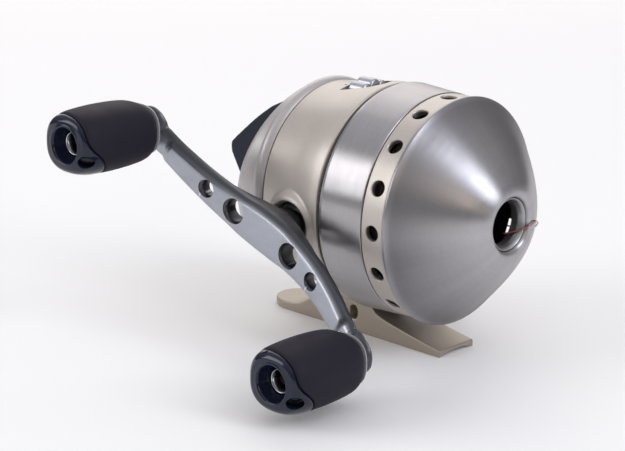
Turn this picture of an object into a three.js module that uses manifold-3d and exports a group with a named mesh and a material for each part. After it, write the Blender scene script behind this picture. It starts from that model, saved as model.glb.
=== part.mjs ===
// Spincast fishing reel, modelled as an assembly of separate pieces.
// Millimetres. +X points out of the nose, -Y is the crank side, +Z is up.
// The origin is the centre of the foot's seat, where the reel meets the rod.
import * as THREE from 'three';
import { mergeVertices } from 'three/addons/utils/BufferGeometryUtils.js';
import Module from 'manifold-3d';

const wasm = await Module();
wasm.setup();

// ---- driving dimensions -------------------------------------------------
// The reel's own frame has its X axis along the spool axis. Stations along it
// are measured from the middle of the vent band.
const AXIS_HEIGHT = 39;
const BAND_FORWARD = 26;
const FIT_GAP = 0.3;
const ROUND = 24;

const SLEEVE_START = -17.7;
const BAND_START = -3.1;
const BAND_END = 3.8;
const BAND_RADIUS = 30.25;
const VENT_COUNT = 16;
const VENT_RADIUS = 2.2;
const FIRST_VENT = THREE.MathUtils.degToRad(91.4);
const NOSE_HOLE_RADIUS = 7.25;
const GUIDE_RADIUS = 5.9;

const HOUSING_FRONT = -18.9;
const HOUSING_REAR = -40.6;
const COVER_TILT = 0.27;
const COVER_TILT_START = -52.5;
const COVER_WALL = 1.4;

const CRANK_X = -28.4;
const CRANK_Z = -4.7;
const CRANK_RADIUS = 2.6;
const CRANK_BORE = CRANK_RADIUS + FIT_GAP;
const CRANK_MOUTH = -31;
const CLUTCH_BORE = 6.3;
const BUSHING_BORE = 4.3;

const ARM_HALF_LENGTH = 43.5;
const ARM_TILT = THREE.MathUtils.degToRad(31.5);
const ARM_FACE = -40.6;
const ARM_BOW = 0.0037;
const ARM_SWAY = 2.7;
const ARM_END_RADIUS = 5.4;
const ARM_HUB_RADIUS = 5;
const ARM_HOLES = [[10.4, 3], [20.4, 2]];
const RIVET_RADIUS = 1.9;
const RIVET_BORE = 2.25;
const KNOB_BASE = -48.2;
const KNOB_LENGTH = 27.5;
const KNOB_SPLIT = 23.3;
const KNOB_SPLIT_TILT = THREE.MathUtils.degToRad(25);
const KNOB_WIDEN = 1.1;
const KNOB_BOXINESS = 2.5;
const KNOB_MOUTH = 3.5;
const KNOB_MOUTH_DEPTH = 6.4;
const KNOB_SPIGOT = 4.4;
const KNOB_SPIGOT_REACH = 25.5;
const KNOB_FLANGE = 6.2;
const KNOB_FLANGE_DEPTH = 1;

const SHAFT_RADIUS = 1.5;
const SHAFT_BORE = SHAFT_RADIUS + FIT_GAP;
const SHAFT_REAR = -45.7;
const SHAFT_TIP = 13.6;
const PINION_TEETH = 10;
const GEAR_TEETH = 36;
const GEAR_RADIUS = 10.6;
const HUB_RADIUS = 5;
const SPINNER_RADIUS = 22.5;

const DECK_REAR = -15.8;
const DECK_FRONT = -13.8;
const DECK_SCREW_CIRCLE = 24.2;
const DECK_SCREW_ANGLES = [45, 165, 285];
const BRACKET_REAR = -35.6;
const BRACKET_FRONT = -34.2;
const BRACKET_SCREW_Y = 21.8;
const BRACKET_SCREW_Z = 6;
const COVER_SCREW_Y = 15;
const COVER_SCREW_Z = -11;

const DIAL_Z = 22.3;
const DIAL_RADIUS = 8.3;
const DIAL_REAR = -31;
const DIAL_FRONT = -25.5;
const DIAL_RIBS = 12;
const DRAG_SCREW_RADIUS = 2;

const BUTTON_HALF_WIDTH = 14;
const BUTTON_WALL = 2;
const BUTTON_FLOOR = -1.2;
const BUTTON_REAR = -66.4;
const BUTTON_CORNER = 2.5;
const BUTTON_HOLLOW_WIDTH = 12;

const FOOT_REAR = -58;
const FOOT_FRONT = 5.7;
const FOOT_HALF_WIDTH = 7;
const FOOT_SCREW_STATIONS = [-33, -23];

const LINE_RADIUS = 0.2;

// ---- materials ----------------------------------------------------------
function finish(color, roughness, metalness) {
  return new THREE.MeshStandardMaterial({ color, roughness, metalness });
}

const GOLD = finish(0xc6bbac, 0.42, 0.75);
const STEEL = finish(0xa9a4a4, 0.3, 1);
const CAST_ALUMINIUM = finish(0x9a9ca0, 0.45, 0.9);
const CHROME = finish(0xd8dade, 0.12, 1);
const BRASS = finish(0xb08d4a, 0.35, 1);
const ZINC = finish(0x8d9092, 0.5, 0.9);
const BLACK_PLASTIC = finish(0x24262e, 0.6, 0);
const SOFT_BLACK = finish(0x28282f, 0.75, 0);
const SMOKE = finish(0x50545c, 0.1, 0);
const FELT = finish(0x5d5346, 0.95, 0);
const NYLON = finish(0xd9d4c4, 0.5, 0);
const MONOFILAMENT = finish(0x8a5348, 0.3, 0);

// ---- solid helpers ------------------------------------------------------
// A closed geometry becomes a solid that can be joined and cut.
function solid(geometry) {
  const bare = geometry.index ? geometry.toNonIndexed() : geometry.clone();
  bare.deleteAttribute('normal');
  bare.deleteAttribute('uv');
  const merged = mergeVertices(bare, 1e-4);
  const index = merged.index.array;
  const triangles = [];
  for (let i = 0; i < index.length; i += 3) {
    const [a, b, c] = index.slice(i, i + 3);
    if (a !== b && b !== c && c !== a) {
      triangles.push(a, b, c);
    }
  }
  return new wasm.Manifold(new wasm.Mesh({
    numProp: 3,
    vertProperties: new Float32Array(merged.attributes.position.array),
    triVerts: new Uint32Array(triangles),
  }));
}

function geometryOf(shape) {
  const mesh = shape.getMesh();
  const geometry = new THREE.BufferGeometry();
  geometry.setAttribute('position', new THREE.BufferAttribute(new Float32Array(mesh.vertProperties), 3));
  geometry.setIndex(new THREE.BufferAttribute(new Uint32Array(mesh.triVerts), 1));
  geometry.computeVertexNormals();
  return geometry;
}

function joined(shapes) {
  return shapes.reduce((whole, shape) => whole.add(shape));
}

function cutBy(shape, tools) {
  return tools.reduce((left, tool) => left.subtract(tool), shape);
}

// The area's sign tells which way round a profile runs.
function signedArea(points) {
  return points.reduce((sum, [x, y], i) => {
    const [nextX, nextY] = points[(i + 1) % points.length];
    return sum + x * nextY - nextX * y;
  }, 0);
}

// Turns a profile of [station, radius] pairs about the Y axis. A profile that
// doesn't start and end on the axis closes on itself.
function turnedGeometry(profile, segments) {
  const radial = profile.map(([station, radius]) => [radius, station]);
  const outward = signedArea(radial) > 0 ? radial : radial.slice().reverse();
  const onAxis = outward[0][0] === 0 && outward[outward.length - 1][0] === 0;
  const loop = onAxis ? outward : [...outward, outward[0]];
  return new THREE.LatheGeometry(loop.map(([x, y]) => new THREE.Vector2(x, y)), segments);
}

function turnedAlongX(profile, segments = ROUND) {
  return solid(turnedGeometry(profile, segments).rotateZ(-Math.PI / 2));
}

function turnedAlongY(profile, segments = ROUND) {
  return solid(turnedGeometry(profile, segments));
}

function rodAlongX(radius, from, to, y = 0, z = 0, segments = 16) {
  const rod = new THREE.CylinderGeometry(radius, radius, to - from, segments).rotateZ(-Math.PI / 2);
  return solid(rod.translate((from + to) / 2, y, z));
}

function rodAlongY(radius, from, to, x = 0, z = 0, segments = 16) {
  const rod = new THREE.CylinderGeometry(radius, radius, to - from, segments);
  return solid(rod.translate(x, (from + to) / 2, z));
}

function rodAlongZ(radius, from, to, x = 0, y = 0, segments = 16) {
  const rod = new THREE.CylinderGeometry(radius, radius, to - from, segments).rotateX(Math.PI / 2);
  return solid(rod.translate(x, y, (from + to) / 2));
}

// A rod that stands out from the reel's axis at an angle from +Y towards +Z.
function radialRod(radius, inner, outer, station, angle, segments = 8) {
  const rod = new THREE.CylinderGeometry(radius, radius, outer - inner, segments);
  rod.translate(0, (inner + outer) / 2, 0).rotateX(angle).translate(station, 0, 0);
  return solid(rod);
}

function block([x0, x1], [y0, y1], [z0, z1]) {
  const box = new THREE.BoxGeometry(x1 - x0, y1 - y0, z1 - z0);
  return solid(box.translate((x0 + x1) / 2, (y0 + y1) / 2, (z0 + z1) / 2));
}

function extruded(points, depth) {
  const outline = new THREE.Shape(points.map(([x, y]) => new THREE.Vector2(x, y)));
  return new THREE.ExtrudeGeometry(outline, { depth, bevelEnabled: false, steps: 1 });
}

// A side outline of [x, z] pairs, filled across y0 to y1.
function slabAlongY(points, y0, y1) {
  return solid(extruded(points, y1 - y0).rotateX(Math.PI / 2).translate(0, y1, 0));
}

// A front outline of [y, z] pairs, filled along x0 to x1.
function slabAlongX(points, x0, x1) {
  const axes = new THREE.Matrix4().makeBasis(
    new THREE.Vector3(0, 1, 0),
    new THREE.Vector3(0, 0, 1),
    new THREE.Vector3(1, 0, 0),
  );
  return solid(extruded(points, x1 - x0).applyMatrix4(axes).translate(x0, 0, 0));
}

function gearOutline(teeth, root, tip) {
  const pitch = 2 * Math.PI / teeth;
  const flank = [[0.2, root], [0.7, tip]];
  const points = [];
  for (let tooth = 0; tooth < teeth; tooth += 1) {
    for (const [part, radius] of flank) {
      const angle = (tooth + part) * pitch;
      points.push([radius * Math.cos(angle), radius * Math.sin(angle)]);
    }
  }
  return points;
}

function hexOutline(acrossCorners) {
  return Array.from({ length: 6 }, (_, i) => {
    const angle = i * Math.PI / 3;
    return [acrossCorners / 2 * Math.cos(angle), acrossCorners / 2 * Math.sin(angle)];
  });
}

class Helix extends THREE.Curve {
  constructor(radius, from, to, turns) {
    super();
    Object.assign(this, { radius, from, to, turns });
  }

  getPoint(t) {
    const angle = 2 * Math.PI * this.turns * t;
    const station = this.from + (this.to - this.from) * t;
    return new THREE.Vector3(station, this.radius * Math.cos(angle), this.radius * Math.sin(angle));
  }
}

function tube(curve, radius, sides, steps) {
  const section = Array.from({ length: sides }, (_, i) => {
    const angle = 2 * Math.PI * i / sides;
    return new THREE.Vector2(radius * Math.cos(angle), radius * Math.sin(angle));
  });
  return new THREE.ExtrudeGeometry(new THREE.Shape(section), { steps, extrudePath: curve });
}

// A countersunk or pan-headed screw along +X, its head at the low end.
function screwAlongX(head, shank, from, headLength, to, y, z) {
  const whole = joined([
    rodAlongX(head, from, from + headLength, y, z, 12),
    rodAlongX(shank, from + headLength / 2, to, y, z, 10),
  ]);
  const slot = block([from - 1, from + 0.5], [y - head, y + head], [z - 0.35, z + 0.35]);
  return whole.subtract(slot);
}

function mesh(name, shape, material, parent) {
  const geometry = shape instanceof THREE.BufferGeometry ? shape : geometryOf(shape);
  const piece = new THREE.Mesh(geometry, material);
  piece.name = name;
  parent.add(piece);
  return piece;
}

function at(angleDegrees, radius) {
  const angle = THREE.MathUtils.degToRad(angleDegrees);
  return [radius * Math.cos(angle), radius * Math.sin(angle)];
}

// ---- casings ------------------------------------------------------------
// The housing is the tapered barrel between the front cover and rear cover.
function housingShell() {
  return turnedAlongX([
    [HOUSING_REAR - 1.9, 24.8], [HOUSING_REAR - 1.9, 26.2], [HOUSING_REAR, 26.2], [HOUSING_REAR, 27.6],
    [-38, 27.8], [-30, 28.9], [-22.2, 30.35], [HOUSING_FRONT, 30.4], [HOUSING_FRONT, 29.4],
    [DECK_FRONT, 29.4], [DECK_FRONT, 28.2], [-22, 28.2], [-30, 27.2], [-38, 26.2], [HOUSING_REAR, 24.8],
  ]);
}

function crankBoss() {
  const flare = turnedAlongY([
    [CRANK_MOUTH, 0], [CRANK_MOUTH, 7.9], [-30, 8.5], [-28, 9.9], [-26, 11.3], [-25.4, 0],
  ], 20);
  return flare.translate([CRANK_X, 0, CRANK_Z]);
}

function bodyHousing() {
  const deckLugs = DECK_SCREW_ANGLES.map((angle) => {
    const lug = block([-22, DECK_REAR - FIT_GAP], [21.6, 28.6], [-3, 3]);
    return lug.rotate([angle, 0, 0]);
  });
  const bracketLugs = [-1, 1].map((side) => {
    const ends = [side * 19.2, side * 26.2].sort((a, b) => a - b);
    return block([BRACKET_FRONT + FIT_GAP, -30], ends, [BRACKET_SCREW_Z - 3, BRACKET_SCREW_Z + 3]);
  });
  const solids = joined([
    housingShell(),
    crankBoss(),
    rodAlongY(8, -27, -15.5, CRANK_X, CRANK_Z, 20),
    rodAlongY(6.6, 21, 30, CRANK_X, CRANK_Z, 20),
    ...deckLugs,
    ...bracketLugs,
  ]);
  const scoop = new THREE.SphereGeometry(1, 12, 6).scale(8.5, 13, 4.6).translate(CRANK_X, 0, 33);
  const cuts = [
    rodAlongY(CLUTCH_BORE, CRANK_MOUTH - 1, -15, CRANK_X, CRANK_Z, 20),
    rodAlongY(BUSHING_BORE, 20, 31, CRANK_X, CRANK_Z, 20),
    solid(scoop),
    rodAlongX(DIAL_RADIUS + 0.9, DIAL_REAR - 0.8, DIAL_FRONT + 0.8, 0, DIAL_Z, 20),
    ...DECK_SCREW_ANGLES.map((angle) => rodAlongX(1.3, -22.5, -15, ...at(angle, DECK_SCREW_CIRCLE), 10)),
    ...[-1, 1].map((side) => rodAlongX(1.3, -35, -29, side * BRACKET_SCREW_Y, BRACKET_SCREW_Z, 10)),
    ...FOOT_SCREW_STATIONS.map((x) => rodAlongZ(1.8, -32, -25, x, 0, 12)),
  ];
  return cutBy(solids, cuts);
}

// Rear cover: a short cup whose back wall leans forward towards the top.
function coverCup(inset) {
  const wall = turnedAlongX([
    [HOUSING_REAR - 0.3, 0], [HOUSING_REAR - 0.3, 27.5 - inset], [-43, 28.3 - inset],
    [-45, 27 - inset], [-50, 26.6 - inset], [-53.4 + inset / 2, 24.2 - inset],
    [-56 + inset, 19.8 - inset], [-57 + inset, 0],
  ]);
  const leaning = slabAlongY([
    [COVER_TILT_START + inset - COVER_TILT * 40, -40], [0, -40],
    [0, 40], [COVER_TILT_START + inset + COVER_TILT * 40, 40],
  ], -40, 40);
  return wall.intersect(leaning);
}

function rearCover() {
  const bosses = [-1, 1].map((side) => {
    const boss = rodAlongX(3.4, -55, BRACKET_REAR - FIT_GAP, side * COVER_SCREW_Y, COVER_SCREW_Z, 14);
    return boss.intersect(coverCup(0.5).add(rodAlongX(3.4, -50, -30, side * COVER_SCREW_Y, COVER_SCREW_Z, 14)));
  });
  const shell = coverCup(0).subtract(coverCup(COVER_WALL)).subtract(
    rodAlongX(26.5, HOUSING_REAR - 2.2, HOUSING_REAR, 0, 0, ROUND),
  );
  const window = block(
    [-60, -44],
    [-BUTTON_HALF_WIDTH - 0.5, BUTTON_HALF_WIDTH + 0.5],
    [BUTTON_FLOOR - 0.6, 40],
  ).intersect(rodAlongX(25.6, -60, -44, 0, 0, ROUND));
  const screwPaths = [-1, 1].map((side) => joined([
    rodAlongX(1.5, -60, -30, side * COVER_SCREW_Y, COVER_SCREW_Z, 12),
    rodAlongX(2.8, -60, -53, side * COVER_SCREW_Y, COVER_SCREW_Z, 14),
  ]));
  return cutBy(joined([shell, ...bosses]), [window, ...screwPaths]);
}

// Front cover: one drawn steel shell, a sleeve that runs on into a cone. The
// vent band sits in the recess between them.
function ventHoles(radius) {
  return Array.from({ length: VENT_COUNT }, (_, i) => {
    const angle = FIRST_VENT + 2 * Math.PI * i / VENT_COUNT;
    return radialRod(radius, 26, 33, (BAND_START + BAND_END) / 2, angle);
  });
}

function frontCover() {
  const shell = turnedAlongX([
    [SLEEVE_START, 31.1], [BAND_START - FIT_GAP, 30.35], [BAND_START - FIT_GAP, 29.25],
    [BAND_END + FIT_GAP, 29.25], [BAND_END + FIT_GAP, 30.8], [6, 29.4], [11, 24.4], [16, 18.9],
    [20.2, 13.2], [21.9, 9.9], [21.9, 8.4], [21.2, NOSE_HOLE_RADIUS], [19.8, NOSE_HOLE_RADIUS],
    [20.4, 9.4], [19.2, 12.6],
    [15.2, 18.2], [10.3, 23.5], [5.2, 28.3], [-4.6, 28.3], [-7, 29.6], [SLEEVE_START, 30.1],
  ]);
  return cutBy(shell, ventHoles(VENT_RADIUS + 0.2));
}

function ventBand() {
  const inner = BAND_RADIUS - 0.7;
  const ring = turnedAlongX([
    [BAND_START, inner], [BAND_START, BAND_RADIUS], [BAND_END, BAND_RADIUS], [BAND_END, inner],
  ]);
  return cutBy(ring, ventHoles(VENT_RADIUS));
}

function lineGuideRing() {
  return turnedAlongX([
    [17.4, 6.2], [17.4, 8.6], [18.2, 8.6], [18.2, 6.95], [20.8, 6.95], [21.2, 6.5], [20.6, GUIDE_RADIUS],
    [19.4, GUIDE_RADIUS],
  ], 24);
}

function sealRing() {
  return turnedAlongX([
    [HOUSING_FRONT + 0.3, 29.75], [HOUSING_FRONT + 0.3, 30.5],
    [SLEEVE_START - 0.3, 30.5], [SLEEVE_START - 0.3, 29.75],
  ]);
}

// ---- foot ---------------------------------------------------------------
// The foot's flat underside is the reel seat; its ends are relieved by an arch.
function reelFoot() {
  const seat = -AXIS_HEIGHT;
  const side = slabAlongY([
    [FOOT_REAR, seat], [FOOT_FRONT, seat], [FOOT_FRONT, seat + 1.9], [-1.4, seat + 3.1],
    [-8.4, seat + 4.5], [-14, seat + 5.7], [-17.7, seat + 7.2], [-18.7, seat + 9], [-19, seat + 12],
    [-37, seat + 12],
    [-39, seat + 8], [-42.5, seat + 4.6], [-47.5, seat + 2.5], [FOOT_REAR, seat + 2.3],
  ], -FOOT_HALF_WIDTH, FOOT_HALF_WIDTH);
  const roundEnd = rodAlongZ(FOOT_HALF_WIDTH, seat - 1, seat + 14, FOOT_REAR + FOOT_HALF_WIDTH, 0, 28);
  const plan = roundEnd.add(block(
    [FOOT_REAR + FOOT_HALF_WIDTH, FOOT_FRONT + 1],
    [-FOOT_HALF_WIDTH, FOOT_HALF_WIDTH],
    [seat - 1, seat + 14],
  ));
  const saddle = turnedAlongX([
    [-46, 0], [-46, 27.9], [-38, 28.1], [-30, 29.2], [-22.2, 30.65], [-10, 30.9], [-10, 0],
  ]);
  const archRadius = 26;
  const arches = [[FOOT_REAR - 1, -46], [-8, FOOT_FRONT + 1]].map(([from, to]) =>
    rodAlongX(archRadius, from, to, 0, seat - archRadius + 0.9, 60));
  const slot = block([-26.5, -23.8], [-10, -5.2], [seat + 3.4, seat + 7.4]);
  const screws = FOOT_SCREW_STATIONS.map((x) => rodAlongZ(1.5, seat + 3, seat + 14, x, 0, 12));
  return cutBy(side.intersect(plan), [saddle, slot, ...arches, ...screws]);
}

function footScrew(x) {
  const head = rodAlongZ(2.7, -26.2, -24.6, x, 0, 12);
  const shank = rodAlongZ(1.2, -35.4, -26, x, 0, 10);
  const slot = block([x - 3, x + 3], [-0.35, 0.35], [-25.1, -24]);
  return head.add(shank).subtract(slot);
}

// ---- frame inside the housing -------------------------------------------
function deckPlate() {
  const plate = turnedAlongX([
    [-17.4, BUSHING_BORE], [-17.4, 6.2], [DECK_REAR, 6.2], [DECK_REAR, 27.8], [DECK_FRONT, 27.8],
    [DECK_FRONT, HUB_RADIUS], [-2.4, HUB_RADIUS], [-2.4, 4.2], [-1.2, 4.2], [-1.2, HUB_RADIUS],
    [-0.4, HUB_RADIUS], [-0.4, 1.9], [-11, 1.9], [-11, BUSHING_BORE],
  ], 28);
  const screwHoles = DECK_SCREW_ANGLES.map((angle) =>
    rodAlongX(1.6, -17, -12, ...at(angle, DECK_SCREW_CIRCLE), 12));
  const lightening = [105, 225, 345].map((angle) => rodAlongX(4.5, -17, -12, ...at(angle, 17), 12));
  const dragHole = rodAlongX(DRAG_SCREW_RADIUS + FIT_GAP, -17, -12, 0, DIAL_Z, 14);
  return cutBy(plate, [...screwHoles, ...lightening, dragHole]);
}

function deckScrew(angle) {
  const [y, z] = at(angle, DECK_SCREW_CIRCLE);
  const head = rodAlongX(2.4, DECK_FRONT + FIT_GAP, -12.2, y, z, 12);
  const shank = rodAlongX(1, -21.5, -13, y, z, 10);
  const slot = block([-12.7, -12], [y - 3, y + 3], [z - 0.35, z + 0.35]);
  return head.add(shank).subtract(slot);
}

// The bracket carries the rear end of the centre shaft and the drag screw.
function bearingBracket() {
  const disc = rodAlongX(24, BRACKET_REAR, BRACKET_FRONT, 0, 0, 28);
  const tab = block([BRACKET_REAR, BRACKET_FRONT], [-4.5, 4.5], [20, 25.6]);
  const gearSlot = block([-37, -33], [-9.2, -3.2], [-15, 5.2]);
  const windows = [[11, -14, 5], [12, 12.5, 5.5], [-12, 12.5, 5.5]].map(([y, z, radius]) =>
    rodAlongX(radius, -37, -33, y, z, 18));
  const screwHoles = [-1, 1].flatMap((side) => [
    rodAlongX(1.5, -37, -33, side * BRACKET_SCREW_Y, BRACKET_SCREW_Z, 10),
    rodAlongX(1.3, -37, -33, side * COVER_SCREW_Y, COVER_SCREW_Z, 10),
  ]);
  return cutBy(disc.add(tab), [
    gearSlot,
    ...windows,
    ...screwHoles,
    rodAlongX(SHAFT_BORE, -37, -33, 0, 0, 14),
    rodAlongX(DRAG_SCREW_RADIUS + FIT_GAP, -37, -33, 0, DIAL_Z, 14),
    rodAlongY(8.4, -28, -15, CRANK_X, CRANK_Z, 20),
    rodAlongY(7, 20, 28, CRANK_X, CRANK_Z, 20),
    block([-37, -33], [-25, 25], [-26, -17]),
  ]);
}

// ---- crank and handle ---------------------------------------------------
function crankBushing() {
  return turnedAlongY([
    [21.4, CRANK_BORE], [21.4, 4], [30.3, 4], [30.3, 5.8], [31.1, 5.5], [31.1, CRANK_BORE],
  ], 20).translate([CRANK_X, 0, CRANK_Z]);
}

function antiReverseClutch() {
  const outer = CLUTCH_BORE - FIT_GAP;
  return turnedAlongY([
    [-28.5, CRANK_BORE], [-28.5, outer - 0.4], [-28.1, outer], [-17.4, outer], [-17, outer - 0.4],
    [-17, CRANK_BORE],
  ], 20).translate([CRANK_X, 0, CRANK_Z]);
}

function crankShaft() {
  const blind = 1.5;
  return turnedAlongY([
    [-36.7, 0], [-36.7, CRANK_RADIUS], [31.4, CRANK_RADIUS], [31.4, blind], [22, blind], [22, 0],
  ], 20).translate([CRANK_X, 0, CRANK_Z]);
}

function crankCapScrew() {
  const cap = turnedAlongY([[31.7, 0], [31.7, 4.4], [32.7, 4.4], [33.4, 3.6], [33.4, 0]], 16);
  const shank = rodAlongY(1.2, 23, 32, 0, 0, 10);
  const slot = block([-3, 3], [32.8, 34], [-0.45, 0.45]);
  return cap.add(shank).subtract(slot).translate([CRANK_X, 0, CRANK_Z]);
}

function driveGear() {
  const disc = turnedAlongY([
    [-12, CRANK_BORE], [-12, 5], [-8, 5], [-8, GEAR_RADIUS], [-5.4, GEAR_RADIUS], [-5.4, CRANK_BORE],
  ], 24);
  const teeth = slabAlongY(gearOutline(GEAR_TEETH, 6.4, GEAR_RADIUS), -5.6, -3.8);
  const eye = rodAlongY(5.4, -4.9, -3, 0, 0, 16);
  const bore = rodAlongY(CRANK_BORE, -13, -2, 0, 0, 20);
  return disc.add(teeth).subtract(eye).subtract(bore).translate([CRANK_X, 0, CRANK_Z]);
}

// Half the arm's width, given as points along it from the crank to one knob.
const ARM_WIDTHS = new THREE.SplineCurve([
  [0, 5.9], [6, 5.7], [11, 5.1], [20, 4.45], [29, 3.9], [36, 3.6], [ARM_HALF_LENGTH, 4.2],
].map(([s, half]) => new THREE.Vector2(s, half)));

function armOutline() {
  const half = ARM_WIDTHS.getPoints(9);
  const stations = [...half.slice(1).reverse().map(({ x, y }) => [-x, y]), ...half.map(({ x, y }) => [x, y])];
  const centre = (s) => ARM_SWAY * Math.sin(Math.PI * s / ARM_HALF_LENGTH);
  const upper = stations.map(([s, width]) => [s, centre(s) + width]);
  const lower = stations.map(([s, width]) => [s, centre(s) - width]);
  return [...lower, ...upper.reverse()];
}

// The arm bows away from the reel towards its ends, and is thickest at its hub.
function armBow() {
  const end = ARM_HALF_LENGTH + ARM_END_RADIUS + 1;
  const steps = 12;
  const stations = Array.from({ length: steps + 1 }, (_, i) => -end + 2 * end * i / steps);
  const face = (s) => ARM_FACE - ARM_BOW * Math.min(Math.abs(s), ARM_HALF_LENGTH) ** 2;
  const thickness = (s) => 3.4 + 3.2 * Math.max(0, 1 - Math.abs(s) / 16);
  const outer = stations.map((s) => [s, face(s)]);
  const inner = stations.map((s) => [s, face(s) + thickness(s)]);
  return solid(extruded([...outer, ...inner.reverse()], 40).translate(0, 0, -20));
}

function armGeometry() {
  const outline = slabAlongY(armOutline(), -55, -30);
  const ends = [-1, 1].map((side) => rodAlongY(ARM_END_RADIUS, -55, -30, side * ARM_HALF_LENGTH, 0, 20));
  const arm = joined([outline, ...ends]).intersect(armBow()).add(
    rodAlongY(ARM_HUB_RADIUS, -36, -30.4, 0, 0, 24),
  );
  const lighteningHoles = ARM_HOLES.flatMap(([s, radius]) => [-1, 1].map((side) => {
    const sway = side * ARM_SWAY * Math.sin(Math.PI * s / ARM_HALF_LENGTH);
    return rodAlongY(radius, -56, -29, side * s, sway, 12);
  }));
  const rivetHoles = [-1, 1].map((side) => rodAlongY(RIVET_BORE, -56, -29, side * ARM_HALF_LENGTH, 0, 12));
  const rivetSeats = [-1, 1].map((side) => rodAlongY(3.6, -44.4, -40, side * ARM_HALF_LENGTH, 0, 14));
  const socket = rodAlongY(CRANK_BORE, -37, -29, 0, 0, 16);
  return geometryOf(cutBy(arm, [...lighteningHoles, ...rivetHoles, ...rivetSeats, socket]));
}

// Knob blank: a full barrel with rounded ends. Its section is a little boxy and
// a little wider along X than it is tall.
function knobBlank() {
  const profile = [
    [0, 0], [0, 5.1], [2, 7], [4.5, 8], [9, 8.45], [15, 8.65], [20, 8.5], [23.5, 8.1],
    [26, 7.3], [27.1, 6.3], [KNOB_LENGTH, 4.9], [KNOB_LENGTH, 0],
  ].map(([distance, radius]) => [KNOB_BASE - distance, radius]);
  const blank = turnedGeometry(profile, 16);
  const points = blank.getAttribute('position');
  for (let i = 0; i < points.count; i += 1) {
    const x = points.getX(i);
    const z = points.getZ(i);
    const span = Math.hypot(x, z) || 1;
    const squared = Math.abs(x / span) ** KNOB_BOXINESS + Math.abs(z / span) ** KNOB_BOXINESS;
    const reach = squared > 0 ? squared ** (-1 / KNOB_BOXINESS) : 0;
    points.setX(i, x * reach * KNOB_WIDEN);
    points.setZ(i, z * reach);
  }
  return solid(blank);
}

// Everything of a knob on the arm's side of its slanted dividing face.
function knobInnerSide(offset) {
  const side = new THREE.BoxGeometry(60, 60, 60).translate(0, 30 + offset, 0);
  side.rotateX(KNOB_SPLIT_TILT).translate(0, KNOB_BASE - KNOB_SPLIT, 0);
  return solid(side);
}

function knobGrip() {
  const spigotHole = rodAlongY(KNOB_SPIGOT + FIT_GAP, KNOB_BASE - 30, KNOB_BASE + 1, 0, 0, 18);
  const flangeRoom = rodAlongY(12, KNOB_BASE - KNOB_FLANGE_DEPTH - FIT_GAP, KNOB_BASE + 1, 0, 0, 18);
  return knobBlank().intersect(knobInnerSide(FIT_GAP)).subtract(spigotHole).subtract(flangeRoom);
}

function knobCore() {
  const tip = KNOB_BASE - KNOB_LENGTH;
  const spigot = rodAlongY(KNOB_SPIGOT, KNOB_BASE - KNOB_SPIGOT_REACH, KNOB_BASE, 0, 0, 18);
  const flange = rodAlongY(KNOB_FLANGE, KNOB_BASE - KNOB_FLANGE_DEPTH, KNOB_BASE, 0, 0, 24);
  const lens = knobBlank().subtract(knobInnerSide(0));
  const bore = rodAlongY(RIVET_BORE, tip - 1, KNOB_BASE + 1, 0, 0, 14);
  const mouth = rodAlongY(KNOB_MOUTH, tip - 1, tip + KNOB_MOUTH_DEPTH, 0, 0, 18);
  return joined([lens, spigot, flange]).subtract(bore).subtract(mouth);
}

function knobRivet() {
  return turnedAlongY([
    [-43.1, 0], [-43.1, 2.6], [-43.6, 3.2], [-44.1, 3.2], [-44.1, RIVET_RADIUS], [-69.6, RIVET_RADIUS],
    [-69.6, 2.7], [-70.5, 2.7], [-71, 2], [-71, 0],
  ], 14);
}

// ---- drive train and spinner --------------------------------------------
function pinionGear() {
  const teeth = slabAlongX(gearOutline(PINION_TEETH, 2.5, 3.5), -24.8, -18.2);
  const sleeve = rodAlongX(2.7, -18.6, -12, 0, 0, 20);
  return teeth.add(sleeve).subtract(rodAlongX(SHAFT_BORE, -26, -11, 0, 0, 14));
}

function pinionBushing() {
  return turnedAlongX([[-17.2, 3], [-17.2, 4], [-11.3, 4], [-11.3, 3]], 20);
}

function centreShaft() {
  const groove = 1.05;
  return turnedAlongX([
    [SHAFT_REAR, 0], [SHAFT_REAR, 1.2], [-45.3, SHAFT_RADIUS], [-45, SHAFT_RADIUS], [-45, groove],
    [-43.8, groove], [-43.8, SHAFT_RADIUS], [SHAFT_TIP - 0.4, SHAFT_RADIUS], [SHAFT_TIP, 1.1], [SHAFT_TIP, 0],
  ], 16);
}

function shaftClip() {
  const ring = turnedAlongX([[-44.7, 1.35], [-44.7, 3.4], [-44.1, 3.4], [-44.1, 1.35]], 20);
  return ring.subtract(block([-45, -44], [-0.9, 0.9], [0, 5]));
}

function returnSpring() {
  return tube(new Helix(2.5, -43.4, -36.3, 4), 0.35, 5, 40);
}

function spinnerHead() {
  const head = turnedAlongX([
    [3, SHAFT_BORE], [3, 4.5], [7.1, 5.6], [6.5, 12], [4, 21.5], [-1, 21.5],
    [-1, SPINNER_RADIUS], [5, SPINNER_RADIUS], [8.9, 12], [9.8, 5], [9.8, SHAFT_BORE],
  ], ROUND);
  return head.subtract(radialRod(1.35, 19, 25, 1.8, Math.PI, 12));
}

function spinnerNut() {
  return slabAlongX(hexOutline(6.4), 10.1, 12.3).subtract(rodAlongX(SHAFT_BORE, 9, 13, 0, 0, 14));
}

function pickupPin() {
  return radialRod(1, 15, 24.4, 1.8, Math.PI, 10).add(radialRod(1.9, 14, 15.4, 1.8, Math.PI, 12));
}

// ---- spool, line and drag -----------------------------------------------
function spool() {
  const bore = HUB_RADIUS + 0.35;
  return turnedAlongX([
    [-11.5, bore], [-11.5, 23], [-10.3, 23], [-10.3, 12], [-3.7, 12], [-3.7, 20.5], [-2.5, 20.5],
    [-2.5, 10.4], [-9.3, 10.4], [-9.3, 7.2], [-2.5, 7.2], [-2.5, bore],
  ], ROUND);
}

function lineWinding() {
  return turnedAlongX([
    [-10, 12.3], [-10, 18.8], [-7, 19.6], [-4, 18.8], [-4, 12.3],
  ], 28);
}

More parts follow.
